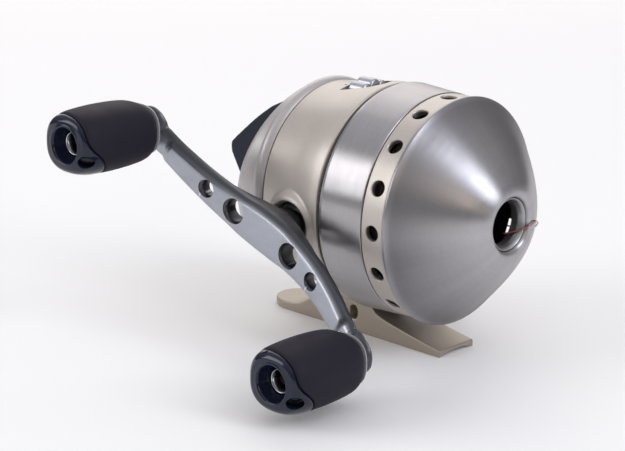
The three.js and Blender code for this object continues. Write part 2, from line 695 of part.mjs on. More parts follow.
function spoolClip() {
  const ring = turnedAlongX([[-2.1, 4.5], [-2.1, 7], [-1.5, 7], [-1.5, 4.5]], 24);
  return ring.subtract(block([-3, -1], [-2, 2], [-8, 0]));
}

function dragFeltWasher() {
  return turnedAlongX([[-12.6, 5.4], [-12.6, 10], [-11.8, 10], [-11.8, 5.4]], 28);
}

function dragLeaf() {
  const eye = rodAlongX(9.6, -13.45, -12.9, 0, 0, 28);
  const tongue = block([-13.45, -12.9], [-3, 3], [6, 25]);
  return eye.add(tongue).subtract(rodAlongX(5.4, -14, -12, 0, 0, 24));
}

function dragDial() {
  const scallops = Array.from({ length: DIAL_RIBS }, (_, i) => {
    const angle = 2 * Math.PI * (i + 0.5) / DIAL_RIBS;
    const reach = DIAL_RADIUS + 1.2;
    return rodAlongX(1.75, -32, -24, reach * Math.cos(angle), reach * Math.sin(angle), 12);
  });
  const wheel = cutBy(rodAlongX(DIAL_RADIUS, DIAL_REAR, DIAL_FRONT, 0, 0, 36), [
    ...scallops,
    rodAlongX(DRAG_SCREW_RADIUS + FIT_GAP, -32, -24, 0, 0, 14),
  ]);
  return wheel.translate([0, 0, DIAL_Z]);
}

function dragScrew() {
  return joined([
    rodAlongX(DRAG_SCREW_RADIUS, -37.2, -13.8, 0, DIAL_Z, 14),
    rodAlongX(3.2, -38.2, -36.9, 0, DIAL_Z, 14),
  ]);
}

// ---- thumb button -------------------------------------------------------
function buttonOutline(inset) {
  return [
    [-43, 25.2 - inset * 1.3], [-47.4, 23 - inset * 1.25], [-54.8, 17.9 - inset * 1.3],
    [-61.5 + inset * 0.4, 12.2 - inset * 1.1], [BUTTON_REAR + 0.4 + inset * 1.5, 8 - inset * 0.7],
    [BUTTON_REAR + inset * 1.4, 6.6], [-62.4 + inset, BUTTON_FLOOR + 1.1 + inset / 2],
    [-61 + inset, BUTTON_FLOOR + inset], [-43, BUTTON_FLOOR + inset],
  ];
}

function thumbButton() {
  const cornerX = BUTTON_REAR + BUTTON_CORNER;
  const cornerY = BUTTON_HALF_WIDTH - BUTTON_CORNER;
  const plan = joined([
    block([cornerX, -40], [-BUTTON_HALF_WIDTH, BUTTON_HALF_WIDTH], [-10, 30]),
    block([-70, -50], [-cornerY, cornerY], [-10, 30]),
    rodAlongZ(BUTTON_CORNER, -10, 30, cornerX, cornerY, 16),
    rodAlongZ(BUTTON_CORNER, -10, 30, cornerX, -cornerY, 16),
  ]);
  const crown = turnedAlongX([
    [-70, 0], [-70, 25.3], [-46.8, 25.3], [-45.8, 24.3], [-40, 24.3], [-40, 0],
  ]);
  const outer = slabAlongY(buttonOutline(0), -15, 15).intersect(plan).intersect(crown);
  const hollowCrown = rodAlongX(25.3 - BUTTON_WALL, -70, -40, 0, 0, ROUND);
  const acrossHollow = [-BUTTON_HOLLOW_WIDTH, BUTTON_HOLLOW_WIDTH];
  const hollow = slabAlongY(buttonOutline(BUTTON_WALL), ...acrossHollow)
    .intersect(hollowCrown)
    .add(block([-44, -42], acrossHollow, [1, 16]));
  const rib = block([-60, SHAFT_REAR - FIT_GAP], [-1.2, 1.2], [BUTTON_FLOOR, 19]);
  const pusher = block([-50, SHAFT_REAR - FIT_GAP], [-4, 4], [-4, 4]);
  const shaftRoom = block([SHAFT_REAR - FIT_GAP, -40], [-4.5, 4.5], [-5, 5]);
  return joined([outer.subtract(hollow), rib.intersect(outer), pusher]).subtract(shaftRoom);
}

// ---- line at the nose ---------------------------------------------------
// The line's route, as [station, distance from the axis, degrees from +Y towards
// +Z]: out through the guide ring, over the nose, down the cone on its far side
// and into a vent hole.
const LINE_ROUTE = [
  [17.2, 5, -52], [18.6, 5.1, -44], [20, 5.3, -33], [21.4, 5.8, -22], [22.3, 6.75, -15], [22.65, 7.9, -9.5],
  [22.5, 9.2, -5], [22.05, 10.6, -5.5], [21.35, 12.1, -7.8], [20.5, 13.7, -10.5], [18.9, 15.8, -13.3],
  [17.2, 18, -15.4], [14.9, 20.7, -17.3], [12.35, 23.6, -18.8], [9.55, 26.6, -20], [7.4, 28.8, -20.6],
  [6.2, 30.1, -21], [5.2, 31.1, -21.1], [4, 31.5, -21.1], [2.6, 31.3, -21.1], [1.5, 30.6, -21.1],
  [0.8, 29.5, -21.1], [0.5, 28.2, -21.1], [0.4, 26.6, -21.1],
];

function fishingLine() {
  const points = LINE_ROUTE.map(([station, distance, degrees]) =>
    new THREE.Vector3(station, ...at(degrees, distance)));
  return tube(new THREE.CatmullRomCurve3(points, false, 'centripetal'), LINE_RADIUS, 8, 42);
}

// ---- assembly -----------------------------------------------------------
const reel = new THREE.Group();
reel.position.set(BAND_FORWARD, 0, AXIS_HEIGHT);

mesh('body_housing', bodyHousing(), GOLD, reel);
mesh('rear_cover', rearCover(), GOLD, reel);
mesh('front_cover', frontCover(), STEEL, reel);
mesh('vent_band', ventBand(), GOLD, reel);
mesh('line_guide_ring', lineGuideRing(), CHROME, reel);
mesh('seal_ring', sealRing(), SOFT_BLACK, reel);
mesh('reel_foot', reelFoot(), GOLD, reel);
mesh('deck_plate', deckPlate(), ZINC, reel);
mesh('bearing_bracket', bearingBracket(), ZINC, reel);

FOOT_SCREW_STATIONS.forEach((x, i) => {
  mesh(`foot_screw_${['rear', 'front'][i]}`, footScrew(x), ZINC, reel);
});
DECK_SCREW_ANGLES.forEach((angle, i) => {
  mesh(`deck_screw_${i + 1}`, deckScrew(angle), ZINC, reel);
});
for (const [word, side] of [['right', -1], ['left', 1]]) {
  const bracketScrew = screwAlongX(2.3, 1, -37.3, 1.4, -30.4, side * BRACKET_SCREW_Y, BRACKET_SCREW_Z);
  mesh(`bracket_screw_${word}`, bracketScrew, ZINC, reel);
  const coverScrew = screwAlongX(2.4, 1, -54.6, 1.3, BRACKET_FRONT - 0.2, side * COVER_SCREW_Y, COVER_SCREW_Z);
  mesh(`rear_cover_screw_${word}`, coverScrew, ZINC, reel);
}

mesh('crank_bushing', crankBushing(), BRASS, reel);
mesh('anti_reverse_clutch', antiReverseClutch(), STEEL, reel);
mesh('crank_shaft', crankShaft(), STEEL, reel);
mesh('crank_cap_screw', crankCapScrew(), CHROME, reel);
mesh('drive_gear', driveGear(), BRASS, reel);

const handle = new THREE.Group();
handle.position.set(CRANK_X, 0, CRANK_Z);
handle.rotation.y = ARM_TILT;
reel.add(handle);
mesh('handle_arm', armGeometry(), CAST_ALUMINIUM, handle);

for (const [word, side] of [['rear', -1], ['front', 1]]) {
  const knob = new THREE.Group();
  const reach = side * ARM_HALF_LENGTH;
  knob.position.set(CRANK_X + reach * Math.cos(ARM_TILT), 0, CRANK_Z - reach * Math.sin(ARM_TILT));
  reel.add(knob);
  mesh(`knob_${word}_grip`, knobGrip(), SOFT_BLACK, knob);
  mesh(`knob_${word}_core`, knobCore(), SMOKE, knob);
  mesh(`knob_${word}_rivet`, knobRivet(), CHROME, knob);
}

mesh('pinion_gear', pinionGear(), BRASS, reel);
mesh('pinion_bushing', pinionBushing(), BRASS, reel);
mesh('centre_shaft', centreShaft(), STEEL, reel);
mesh('shaft_clip', shaftClip(), STEEL, reel);
mesh('shaft_return_spring', returnSpring(), STEEL, reel);
mesh('spinner_head', spinnerHead(), STEEL, reel);
mesh('spinner_nut', spinnerNut(), CHROME, reel);
mesh('pickup_pin', pickupPin(), CHROME, reel);
mesh('spool', spool(), BLACK_PLASTIC, reel);
mesh('line_winding', lineWinding(), NYLON, reel);
mesh('spool_clip', spoolClip(), STEEL, reel);
mesh('drag_felt_washer', dragFeltWasher(), FELT, reel);
mesh('drag_leaf', dragLeaf(), STEEL, reel);
mesh('drag_screw', dragScrew(), STEEL, reel);
mesh('drag_dial', dragDial(), CHROME, reel);
mesh('thumb_button', thumbButton(), BLACK_PLASTIC, reel);
mesh('fishing_line', fishingLine(), MONOFILAMENT, reel);

const group = new THREE.Group();
group.add(reel);

export default group;
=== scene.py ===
import math

import bmesh
import bpy
import numpy as np
from mathutils import Matrix, Vector


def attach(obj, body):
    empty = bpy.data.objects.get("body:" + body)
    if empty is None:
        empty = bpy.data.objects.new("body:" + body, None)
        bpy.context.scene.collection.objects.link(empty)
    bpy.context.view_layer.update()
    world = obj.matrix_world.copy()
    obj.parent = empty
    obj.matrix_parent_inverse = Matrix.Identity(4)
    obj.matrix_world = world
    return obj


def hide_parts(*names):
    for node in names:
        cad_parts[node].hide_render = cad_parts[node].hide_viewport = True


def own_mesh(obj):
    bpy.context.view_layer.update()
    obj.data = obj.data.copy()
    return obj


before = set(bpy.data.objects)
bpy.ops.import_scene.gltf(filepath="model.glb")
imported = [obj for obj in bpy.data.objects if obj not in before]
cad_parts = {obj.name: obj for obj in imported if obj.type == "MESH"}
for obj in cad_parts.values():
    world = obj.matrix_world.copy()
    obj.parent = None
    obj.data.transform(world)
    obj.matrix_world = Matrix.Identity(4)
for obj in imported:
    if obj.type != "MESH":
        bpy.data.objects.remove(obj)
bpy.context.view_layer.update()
scene = bpy.context.scene

# Shapes are written in millimetres about the spool axis: X runs forward from the
# vent band and Y = Z = 0 on the axis. AXIS is that origin in the shared frame.
MM = 0.001
AXIS = np.array((26.0, 0.0, 39.0))
CRANK_X, CRANK_Z = -28.4, -4.7
CRANK = np.array((CRANK_X, 0, CRANK_Z))
DIAL = (0, 0, 22.3)
SEAT = -39.0
VENT_COUNT, FIRST_VENT, VENT_X = 16, math.radians(91.4), 0.35


# ---- mesh helpers --------------------------------------------------------
def make(name, points, faces):
    """A mesh object from points in the reel's own frame."""
    mesh = bpy.data.meshes.new(name)
    mesh.from_pydata(((np.asarray(points, float) + AXIS) * MM).tolist(), [], faces)
    tidy(mesh)
    piece = bpy.data.objects.new(name, mesh)
    scene.collection.objects.link(piece)
    return piece


def tidy(mesh, weld=1e-6):
    """Joins points that meet and turns every face outward."""
    bm = bmesh.new()
    bm.from_mesh(mesh)
    bmesh.ops.remove_doubles(bm, verts=bm.verts, dist=weld)
    bmesh.ops.recalc_face_normals(bm, faces=bm.faces)
    bm.to_mesh(mesh)
    bm.free()


def loft(rings, closed=True):
    """Points and faces of a skin over rings of points, each ring a loop."""
    rings = np.asarray(rings, float)
    count, around, _ = rings.shape
    faces = []
    for i in range(count if closed else count - 1):
        a, b = i * around, (i + 1) % count * around
        for j in range(around):
            k = (j + 1) % around
            faces.append((a + j, a + k, b + k, b + j))
    return rings.reshape(-1, 3), faces


def round_turn(count):
    return np.linspace(0, 2 * math.pi, count, endpoint=False)


def turned(profile, segments=144, axis="x", centre=(0, 0, 0)):
    """Points and faces of a profile of (station, radius) pairs turned about an axis."""
    angle = round_turn(segments)
    cos, sin = np.cos(angle), np.sin(angle)
    rings = []
    for station, radius in profile:
        level = np.full(segments, float(station))
        parts = {
            "x": (level, radius * cos, radius * sin),
            "y": (radius * cos, level, radius * sin),
            "z": (radius * cos, radius * sin, level),
        }[axis]
        rings.append(np.stack(parts, 1) + np.array(centre, float))
    on_axis = profile[0][1] == 0 and profile[-1][1] == 0
    return loft(rings, closed=not on_axis)


def lathe(name, profile, segments=144, axis="x", centre=(0, 0, 0)):
    return make(name, *turned(profile, segments, axis, centre))


def rounded(points, radius, closed=True, steps=4):
    """The outline with each corner turned into a short curve."""
    most = 0.45  # of either side next to the corner
    points = [np.array(p, float) for p in points]
    count, made = len(points), []
    for i, p in enumerate(points):
        if not closed and i in (0, count - 1):
            made.append(tuple(p))
            continue
        before, after = points[i - 1] - p, points[(i + 1) % count] - p
        reach_in = min(radius, most * np.linalg.norm(before))
        reach_out = min(radius, most * np.linalg.norm(after))
        start = p + before / np.linalg.norm(before) * reach_in
        end = p + after / np.linalg.norm(after) * reach_out
        for t in np.linspace(0, 1, steps + 1):
            made.append(tuple((1 - t) ** 2 * start + 2 * t * (1 - t) * p + t * t * end))
    return made


def dense(points, step, closed=True):
    """The outline with more points along its long runs."""
    made = []
    for a, b in zip(points, points[1:] + (points[:1] if closed else [])):
        a, b = np.array(a, float), np.array(b, float)
        parts = max(1, int(np.linalg.norm(b - a) / step))
        made += [tuple(a + (b - a) * i / parts) for i in range(parts)]
    return made if closed else [*made, points[-1]]


def through(points, per=8):
    """A smooth line through points (Catmull-Rom)."""
    p = [np.array(q, float) for q in points]
    p = [2 * p[0] - p[1], *p, 2 * p[-1] - p[-2]]
    made = []
    for a, b, c, d in zip(p, p[1:], p[2:], p[3:]):
        for t in np.arange(per) / per:
            made.append(0.5 * (2 * b + (c - a) * t + (2 * a - 5 * b + 4 * c - d) * t * t
                               + (3 * b - a - 3 * c + d) * t ** 3))
    return [tuple(q) for q in [*made, p[-2]]]


def prism(name, outline, low, high, axis="y"):
    """An outline filled from low to high along an axis."""
    caps = []
    for level in (low, high):
        for a, b in outline:
            caps.append({"x": (level, a, b), "y": (a, level, b), "z": (a, b, level)}[axis])
    count = len(outline)
    faces = [tuple(range(count)), tuple(range(count, 2 * count))]
    faces += [(i, (i + 1) % count, count + (i + 1) % count, count + i) for i in range(count)]
    return make(name, caps, faces)


def block(low, high):
    """A plain cutter box."""
    (x0, y0, z0), (x1, y1, z1) = low, high
    return prism("cutter", [(x0, z0), (x1, z0), (x1, z1), (x0, z1)], y0, y1)


def band(low, high, inner, outer):
    """Profile of a plain ring, or of a bar where inner is 0."""
    return [(low, inner), (low, outer), (high, outer), (high, inner)]


def rod(radius, low, high, axis="y", centre=(0, 0, 0), segments=64, name="cutter"):
    return lathe(name, band(low, high, 0, radius), segments, axis, centre)


def bake_modifiers(piece):
    """Turns the piece's modifiers into its mesh."""
    bpy.context.view_layer.update()
    shaped = piece.evaluated_get(bpy.context.evaluated_depsgraph_get())
    mesh = bpy.data.meshes.new_from_object(shaped)
    piece.modifiers.clear()
    old, piece.data = piece.data, mesh
    bpy.data.meshes.remove(old)


def combine(piece, tools, operation="DIFFERENCE"):
    """Cuts, joins or crops a piece with each tool in turn, using the tools up."""
    for tool in tools:
        modifier = piece.modifiers.new("shape", "BOOLEAN")
        modifier.operation, modifier.solver, modifier.object = operation, "EXACT", tool
    bake_modifiers(piece)
    for tool in tools:
        bpy.data.objects.remove(tool)
    return piece


def merged(tools):
    """Several separate cutters as one object."""
    bm = bmesh.new()
    for tool in tools:
        bm.from_mesh(tool.data)
        bpy.data.objects.remove(tool)
    mesh = bpy.data.meshes.new("cutters")
    bm.to_mesh(mesh)
    bm.free()
    whole = bpy.data.objects.new("cutters", mesh)
    scene.collection.objects.link(whole)
    return whole


def soften(piece, voxel, rounds=6):
    """Rounds every edge as casting and paint do: remeshed finely, then relaxed."""
    remesh = piece.modifiers.new("remesh", "REMESH")
    remesh.mode, remesh.voxel_size = "VOXEL", voxel * MM
    relax = piece.modifiers.new("relax", "SMOOTH")
    relax.factor, relax.iterations = 0.5, rounds
    bake_modifiers(piece)
    return piece


def bevelled(piece, width, segments=3, angle=32):
    """Breaks every edge sharper than an angle in degrees."""
    edge = piece.modifiers.new("bevel", "BEVEL")
    edge.width, edge.segments, edge.limit_method = width * MM, segments, "ANGLE"
    edge.angle_limit, edge.use_clamp_overlap = math.radians(angle), True
    bake_modifiers(piece)
    return piece


def finish_piece(piece, body, node, material, crease=35):
    """Shading, body, material and the CAD node that the piece stands for.
    """
    piece.data.shade_smooth()
    piece.data.set_sharp_from_angle(angle=math.radians(crease))
    piece.data.materials.clear()
    piece.data.materials.append(material)
    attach(piece, body)
    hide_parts(node)
    return piece


def smooth_max(a, b, k):
    """The larger of two values, rounded over k where they are close."""
    blend = np.maximum(k - np.abs(a - b), 0) / k
    return np.maximum(a, b) + blend * blend * k / 4


def smooth_min(a, b, k):
    return -smooth_max(-a, -b, k)


def vent_cutters(profile):
    """One cutter for every vent hole, of (height, radius) pairs from the axis."""
    tools = []
    along = np.array((1.0, 0, 0))
    points, faces = turned(profile, 48, "z")
    for i in range(VENT_COUNT):
        angle = FIRST_VENT + 2 * math.pi * i / VENT_COUNT
        out = np.array((0, math.cos(angle), math.sin(angle)))
        across = np.cross(out, along)
        placed = points[:, :1] * along + points[:, 1:2] * across + points[:, 2:] * out
        tools.append(make("cutter", placed + np.array((VENT_X, 0, 0)), faces))
    return merged(tools)


# ---- camera and line -----------------------------------------------------
def add_camera():
    """The camera of the photo, fitted to the reel's outline."""
    place = Vector((386.13, -449.94, 206.17)) * MM
    right = Vector((0.73707, 0.67552, 0.02001)).normalized()
    back = Vector((0.64283, -0.70993, 0.28770)).normalized()
    up = back.cross(right).normalized()
    right = up.cross(back)
    data = bpy.data.cameras.new("camera")
    data.lens, data.sensor_width = 130.4, 36
    data.clip_start, data.clip_end = 0.05, 20
    camera = bpy.data.objects.new("camera", data)
    turn = Matrix((right, up, back)).transposed()
    camera.matrix_world = Matrix.Translation(place) @ turn.to_4x4()
    scene.collection.objects.link(camera)
    scene.camera = camera


# (station, radius, degrees round from +Y) along the line: the same list as in the CAD part.
LINE_ROUTE = [
    (17.2, 5, -52), (18.6, 5.1, -44), (20, 5.3, -33), (21.4, 5.8, -22), (22.3, 6.75, -15), (22.65, 7.9, -9.5),
    (22.5, 9.2, -5), (22.05, 10.6, -5.5), (21.35, 12.1, -7.8), (20.5, 13.7, -10.5), (18.9, 15.8, -13.3),
    (17.2, 18, -15.4), (14.9, 20.7, -17.3), (12.35, 23.6, -18.8), (9.55, 26.6, -20), (7.4, 28.8, -20.6),
    (6.2, 30.1, -21), (5.2, 31.1, -21.1), (4, 31.5, -21.1), (2.6, 31.3, -21.1), (1.5, 30.6, -21.1),
    (0.8, 29.5, -21.1), (0.5, 28.2, -21.1), (0.4, 26.6, -21.1),
]
LINE_DIAMETER = 0.0004


def fishing_line():
    """The free end of line: out of the nose ring, over the cone and into a vent."""
    stations = [(x, *polar(degrees, radius)) for x, radius, degrees in LINE_ROUTE]
    points = (np.array(through(stations, 6)) + AXIS) * MM
    data = bpy.data.curves.new("line_strand", "CURVE")
    data.dimensions, data.bevel_depth, data.bevel_resolution = "3D", LINE_DIAMETER / 2, 3
    data.use_fill_caps = True
    spline = data.splines.new("POLY")
    spline.points.add(len(points) - 1)
    for point, co in zip(spline.points, points):
        point.co = (*co, 1)
    strand = bpy.data.objects.new("line_strand", data)
    scene.collection.objects.link(strand)
    data.materials.append(monofilament())
    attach(strand, "front_cover")
    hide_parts("fishing_line")


# ---- materials -----------------------------------------------------------
class Surface:
    """A Principled material with short calls for the nodes that drive it."""

    def __init__(self, name, colour, metallic, roughness, **sockets):
        self.material = bpy.data.materials.new(name)
        self.material.use_nodes = True
        self.nodes = self.material.node_tree.nodes
        self.links = self.material.node_tree.links
        self.shader = self.nodes["Principled BSDF"]
        self.place = self.node("ShaderNodeTexCoord").outputs["Object"]
        self.colour = colour
        self.shader.inputs["Base Color"].default_value = (*colour, 1)
        self.shader.inputs["Metallic"].default_value = metallic
        self.shader.inputs["Roughness"].default_value = roughness
        for socket, value in sockets.items():
            self.shader.inputs[socket.replace("_", " ")].default_value = value

    def node(self, kind, **values):
        made = self.nodes.new(kind)
        for key, value in values.items():
            setattr(made, key, value)
        return made

    def wire(self, source, target):
        self.links.new(source, target)

    def maths(self, operation, a, b=None, c=None):
        made = self.node("ShaderNodeMath", operation=operation)
        for socket, value in zip(made.inputs, (a, b, c)):
            if isinstance(value, (int, float)):
                socket.default_value = value
            elif value is not None:
                self.wire(value, socket)
        return made.outputs[0]

    def blend(self, a, b, share):
        """One factor's share of the whole, and the other factor for the rest."""
        return self.maths("MULTIPLY_ADD", a, share, self.maths("MULTIPLY", b, 1 - share))

    def split(self, vector=None):
        """The X, Y and Z of a vector, or of the place on the object."""
        made = self.node("ShaderNodeSeparateXYZ")
        self.wire(vector or self.place, made.inputs[0])
        return made.outputs

    def noise(self, size, detail=3.0, vector=None, rough=0.5, stretch=None):
        """Noise whose features are about size metres across."""
        made = self.node("ShaderNodeTexNoise")
        made.inputs["Scale"].default_value = 1 / size
        made.inputs["Detail"].default_value = detail
        made.inputs["Roughness"].default_value = rough
        source = vector or self.place
        if stretch:
            mapping = self.node("ShaderNodeMapping")
            mapping.inputs["Scale"].default_value = stretch
            self.wire(source, mapping.inputs["Vector"])
            source = mapping.outputs[0]
        self.wire(source, made.inputs["Vector"])
        return made.outputs["Fac"]

    def spread(self, factor, low, high, start=0.3, end=0.7):
        """Maps a factor that runs from start to end onto low to high."""
        made = self.node("ShaderNodeMapRange")
        for socket, value in zip(list(made.inputs)[1:5], (start, end, low, high)):
            socket.default_value = value
        self.wire(factor, made.inputs[0])
        return made.outputs[0]

    def mix(self, factor, a, b):
        made = self.node("ShaderNodeMix", data_type="RGBA")
        self.wire(factor, made.inputs[0])
        for socket, value in ((made.inputs[6], a), (made.inputs[7], b)):
            if isinstance(value, tuple):
                socket.default_value = (*value, 1)
            else:
                self.wire(value, socket)
        return made.outputs[2]

    def shade(self, factor, amount):
        """Colour that runs from amount darker to amount lighter."""
        dark = tuple(c * (1 - amount) for c in self.colour)
        light = tuple(min(1.0, c * (1 + amount)) for c in self.colour)
        return self.mix(factor, dark, light)

    def lighten_edges(self, colour, light, low=0.54, high=0.62):
        """Lightens edges that stand out."""
        edge = self.node("ShaderNodeNewGeometry").outputs["Pointiness"]
        return self.mix(self.spread(edge, 0, 1, low, high), colour, light)

    def bump(self, height, depth, strength):
        """A normal roughened by a factor, depth in millimetres."""
        made = self.node("ShaderNodeBump")
        made.inputs["Distance"].default_value = depth * MM
        made.inputs["Strength"].default_value = strength
        self.wire(height, made.inputs["Height"])
        return made.outputs[0]

    def about_axis(self):
        """(along, radius, arc) about the spool axis as a vector in metres."""
        height, arc_radius = 0.039, 0.012
        x, y, z = self.split()
        up = self.maths("SUBTRACT", z, height)
        squares = self.maths("ADD", self.maths("MULTIPLY", y, y), self.maths("MULTIPLY", up, up))
        join = self.node("ShaderNodeCombineXYZ")
        arc = self.maths("MULTIPLY", self.maths("ARCTAN2", up, y), arc_radius)
        for source, target in zip((x, self.maths("SQRT", squares), arc), join.inputs):
            self.wire(source, target)
        return join.outputs[0]

    def finished(self, **sockets):
        """Wires an output into each named socket and gives the material."""
        for socket, output in sockets.items():
            self.wire(output, self.shader.inputs[socket.replace("_", " ")])
        return self.material


def gold_paint(name="gold_paint", colour=(0.53, 0.485, 0.445)):
    """Metallic paint: fine flakes under a thin clear coat."""
    s = Surface(name, colour, 0.46, 0.45, Coat_Weight=0.2, Coat_Roughness=0.25)
    flakes, cloud = s.noise(0.00022, 2), s.noise(0.012, 3)
    return s.finished(
        Base_Color=s.shade(s.blend(flakes, cloud, 0.75), 0.24),
        Roughness=s.spread(cloud, 0.36, 0.45),
        Normal=s.bump(flakes, 0.012, 0.6))


def brushed_steel():
    """Round hairlines and fans of light about the axis; rougher where the cone starts, where painted shade
    also darkens the colour.
    """
    roughness, round_stretch = 0.33, (1, 1, 0.25)
    s = Surface("brushed_steel", (0.44, 0.428, 0.44), 1.0, roughness,
                Anisotropic=0.85, Anisotropic_Rotation=0.25)
    place = s.about_axis()
    hair = s.noise(0.00016, 3, place, 0.6, round_stretch)
    band = s.noise(0.0011, 2, place, 0.5, round_stretch)
    cloud = s.noise(0.018, 2)
    fans = s.noise(0.0032, 3, place, 0.55, (0, 0, 1))
    shade = s.shade(s.blend(fans, s.blend(hair, band, 0.6), 0.45), 0.36)
    along = s.split()[0]
    # Band where the cone starts: rougher there, and the same band darkens the colour as painted shade.
    duller_and_shaded = s.maths("MULTIPLY", s.spread(along, 0, 1, 0.0300, 0.0320), s.spread(along, 1, 0, 0.0330, 0.0465))
    ground = s.spread(s.blend(cloud, band, 0.5), roughness - 0.05, roughness + 0.07)
    tangent = s.node("ShaderNodeTangent", direction_type="RADIAL", axis="X")
    return s.finished(
        # Painted shade: the band's colour is mixed toward a dark grey.
        Base_Color=s.mix(s.maths("MULTIPLY", duller_and_shaded, 0.42), shade, (0.08, 0.075, 0.085)),
        Roughness=s.maths("MULTIPLY_ADD", duller_and_shaded, 0.17, ground),
        Tangent=tangent.outputs[0],
        Normal=s.bump(hair, 0.004, 0.5))


def cast_aluminium():
    """Painted shade: the sides and the holes' walls are darker than the outer faces, by which way each face
    points.
    """
    s = Surface("cast_aluminium", (0.37, 0.385, 0.43), 1.0, 0.34)
    grain, cloud = s.noise(0.0004, 4), s.noise(0.006, 4, stretch=(0.6, 1, 1.4))
    tone = s.shade(s.blend(cloud, grain, 0.65), 0.34)
    # Painted shade: faces turned away from the outer face are mixed toward a dark tone.
    facing = s.split(s.node("ShaderNodeTexCoord").outputs["Normal"])[1]
    side = s.spread(facing, 0, 0.9, -0.96, -0.72)
    return s.finished(
        Base_Color=s.lighten_edges(s.mix(side, tone, (0.07, 0.072, 0.08)), (0.62, 0.63, 0.66)),
        Roughness=s.spread(cloud, 0.28, 0.42),
        Normal=s.bump(grain, 0.02, 0.5))


def plain_metal(name, colour, roughness, amount=0.1, depth=0.006):
    """Metal with a fine grain, cloudy gloss and lighter edges."""
    s = Surface(name, colour, 1.0, roughness)
    fine, cloud = s.noise(0.0005, 3), s.noise(0.006, 3)
    tone = s.shade(s.blend(fine, cloud, 0.5), amount)
    return s.finished(
        Base_Color=s.lighten_edges(tone, tuple(min(1, c * 1.25) for c in colour)),
        Roughness=s.spread(cloud, roughness * 0.8, roughness * 1.25),
        Normal=s.bump(fine, depth, 0.5))


def soft_black():
    """Soft-touch shell of the knobs: matte, with a fine even grain."""
    s = Surface("soft_black", (0.014, 0.012, 0.021), 0.0, 0.5, Specular_IOR_Level=0.2)
    grain, cloud = s.noise(0.00025, 3), s.noise(0.008, 3)
    return s.finished(
        Base_Color=s.shade(s.blend(cloud, grain, 0.7), 0.3),
        Roughness=s.spread(cloud, 0.56, 0.68),
        Normal=s.bump(grain, 0.02, 0.5))


def button_black():
    """Moulded black of the thumb button, lighter grey along its edges."""
    s = Surface("button_black", (0.009, 0.013, 0.026), 0.0, 0.46, Specular_IOR_Level=0.24)
    grain, cloud = s.noise(0.00045, 3), s.noise(0.009, 3)
    tone = s.shade(s.blend(cloud, grain, 0.6), 0.25)
    return s.finished(
        Base_Color=s.lighten_edges(tone, (0.06, 0.065, 0.075), 0.52, 0.60),
        Roughness=s.spread(cloud, 0.44, 0.56),
        Normal=s.bump(grain, 0.03, 0.5))


def black_plastic():
    s = Surface("black_plastic", (0.022, 0.024, 0.028), 0.0, 0.42)
    grain, cloud = s.noise(0.0006, 3), s.noise(0.008, 3)
    return s.finished(
        Base_Color=s.shade(cloud, 0.25),
        Roughness=s.spread(grain, 0.36, 0.5),
        Normal=s.bump(grain, 0.02, 0.4))


def black_rubber():
    s = Surface("black_rubber", (0.016, 0.015, 0.019), 0.0, 0.7)
    grain, cloud = s.noise(0.0003, 3), s.noise(0.006, 3)
    return s.finished(
        Base_Color=s.shade(cloud, 0.3),
        Roughness=s.spread(grain, 0.6, 0.8),
        Normal=s.bump(grain, 0.03, 0.5))


def smoke_plastic():
    """Glossy smoke-tinted core of the knobs, pale at the flange that lies on the arm."""
    s = Surface("smoke_plastic", (0.011, 0.015, 0.036), 0.0, 0.10, Transmission_Weight=0.2, IOR=1.49,
                Specular_IOR_Level=0.36)
    cloud, fine = s.noise(0.006, 3), s.noise(0.0012, 2)
    flange = s.spread(s.split()[1], 0, 1, -0.0496, -0.0494)
    return s.finished(
        Base_Color=s.mix(flange, s.shade(cloud, 0.22), (0.42, 0.43, 0.46)),
        Roughness=s.spread(cloud, 0.05, 0.13),
        Normal=s.bump(fine, 0.01, 0.3))


def rivet_chrome():
    """Chrome on the flared lip of the knob rivets; painted shade darkens the bore."""
    s = Surface("rivet_chrome", (0.62, 0.63, 0.65), 1.0, 0.2)
    # Painted shade: deeper than the flared lip, the bore is mixed toward near-black.
    bore = s.spread(s.split()[1], 0, 1, -0.0719, -0.0708)
    cloud, fine = s.noise(0.003, 3), s.noise(0.0005, 3)
    return s.finished(
        Base_Color=s.mix(bore, s.shade(cloud, 0.1), (0.03, 0.03, 0.035)),
        Roughness=s.spread(cloud, 0.16, 0.28),
        Normal=s.bump(fine, 0.006, 0.5))


def felt():
    s = Surface("felt", (0.11, 0.09, 0.065), 0.0, 0.95, Sheen_Weight=0.6, Sheen_Roughness=0.6)
    fibre, cloud = s.noise(0.00018, 4, stretch=(1, 0.25, 1)), s.noise(0.002, 3)
    return s.finished(Base_Color=s.shade(s.blend(fibre, cloud, 0.6), 0.4), Normal=s.bump(fibre, 0.08, 0.9))


def monofilament():
    s = Surface("monofilament", (0.24, 0.075, 0.055), 0.0, 0.25, Coat_Weight=0.4, Coat_Roughness=0.1)
    return s.finished(
        Base_Color=s.shade(s.noise(0.0015, 3), 0.25),
        Roughness=s.spread(s.noise(0.0006, 2), 0.2, 0.34))


def wound_line():
    """The line as it lies on the spool, turn beside turn."""
    s = Surface("wound_line", (0.50, 0.42, 0.33), 0.0, 0.3, Coat_Weight=0.4, Coat_Roughness=0.15)
    turns, cloud = s.noise(0.0002, 2, s.about_axis(), 0.5, (1, 1, 0.1)), s.noise(0.003, 3)
    return s.finished(
        Base_Color=s.shade(s.blend(turns, cloud, 0.6), 0.35),
        Roughness=s.spread(turns, 0.22, 0.42),
        Normal=s.bump(turns, 0.08, 0.7))


# ---- casings -------------------------------------------------------------
def on_outside(points, mid_stations, mid_radii, low, high):
    """Which points belong to a shell's outer skin between two stations."""
    radius = np.hypot(points[:, 1], points[:, 2])
    middle = np.interp(points[:, 0], mid_stations, mid_radii)
    return (radius > middle) & (points[:, 0] > low) & (points[:, 0] < high)


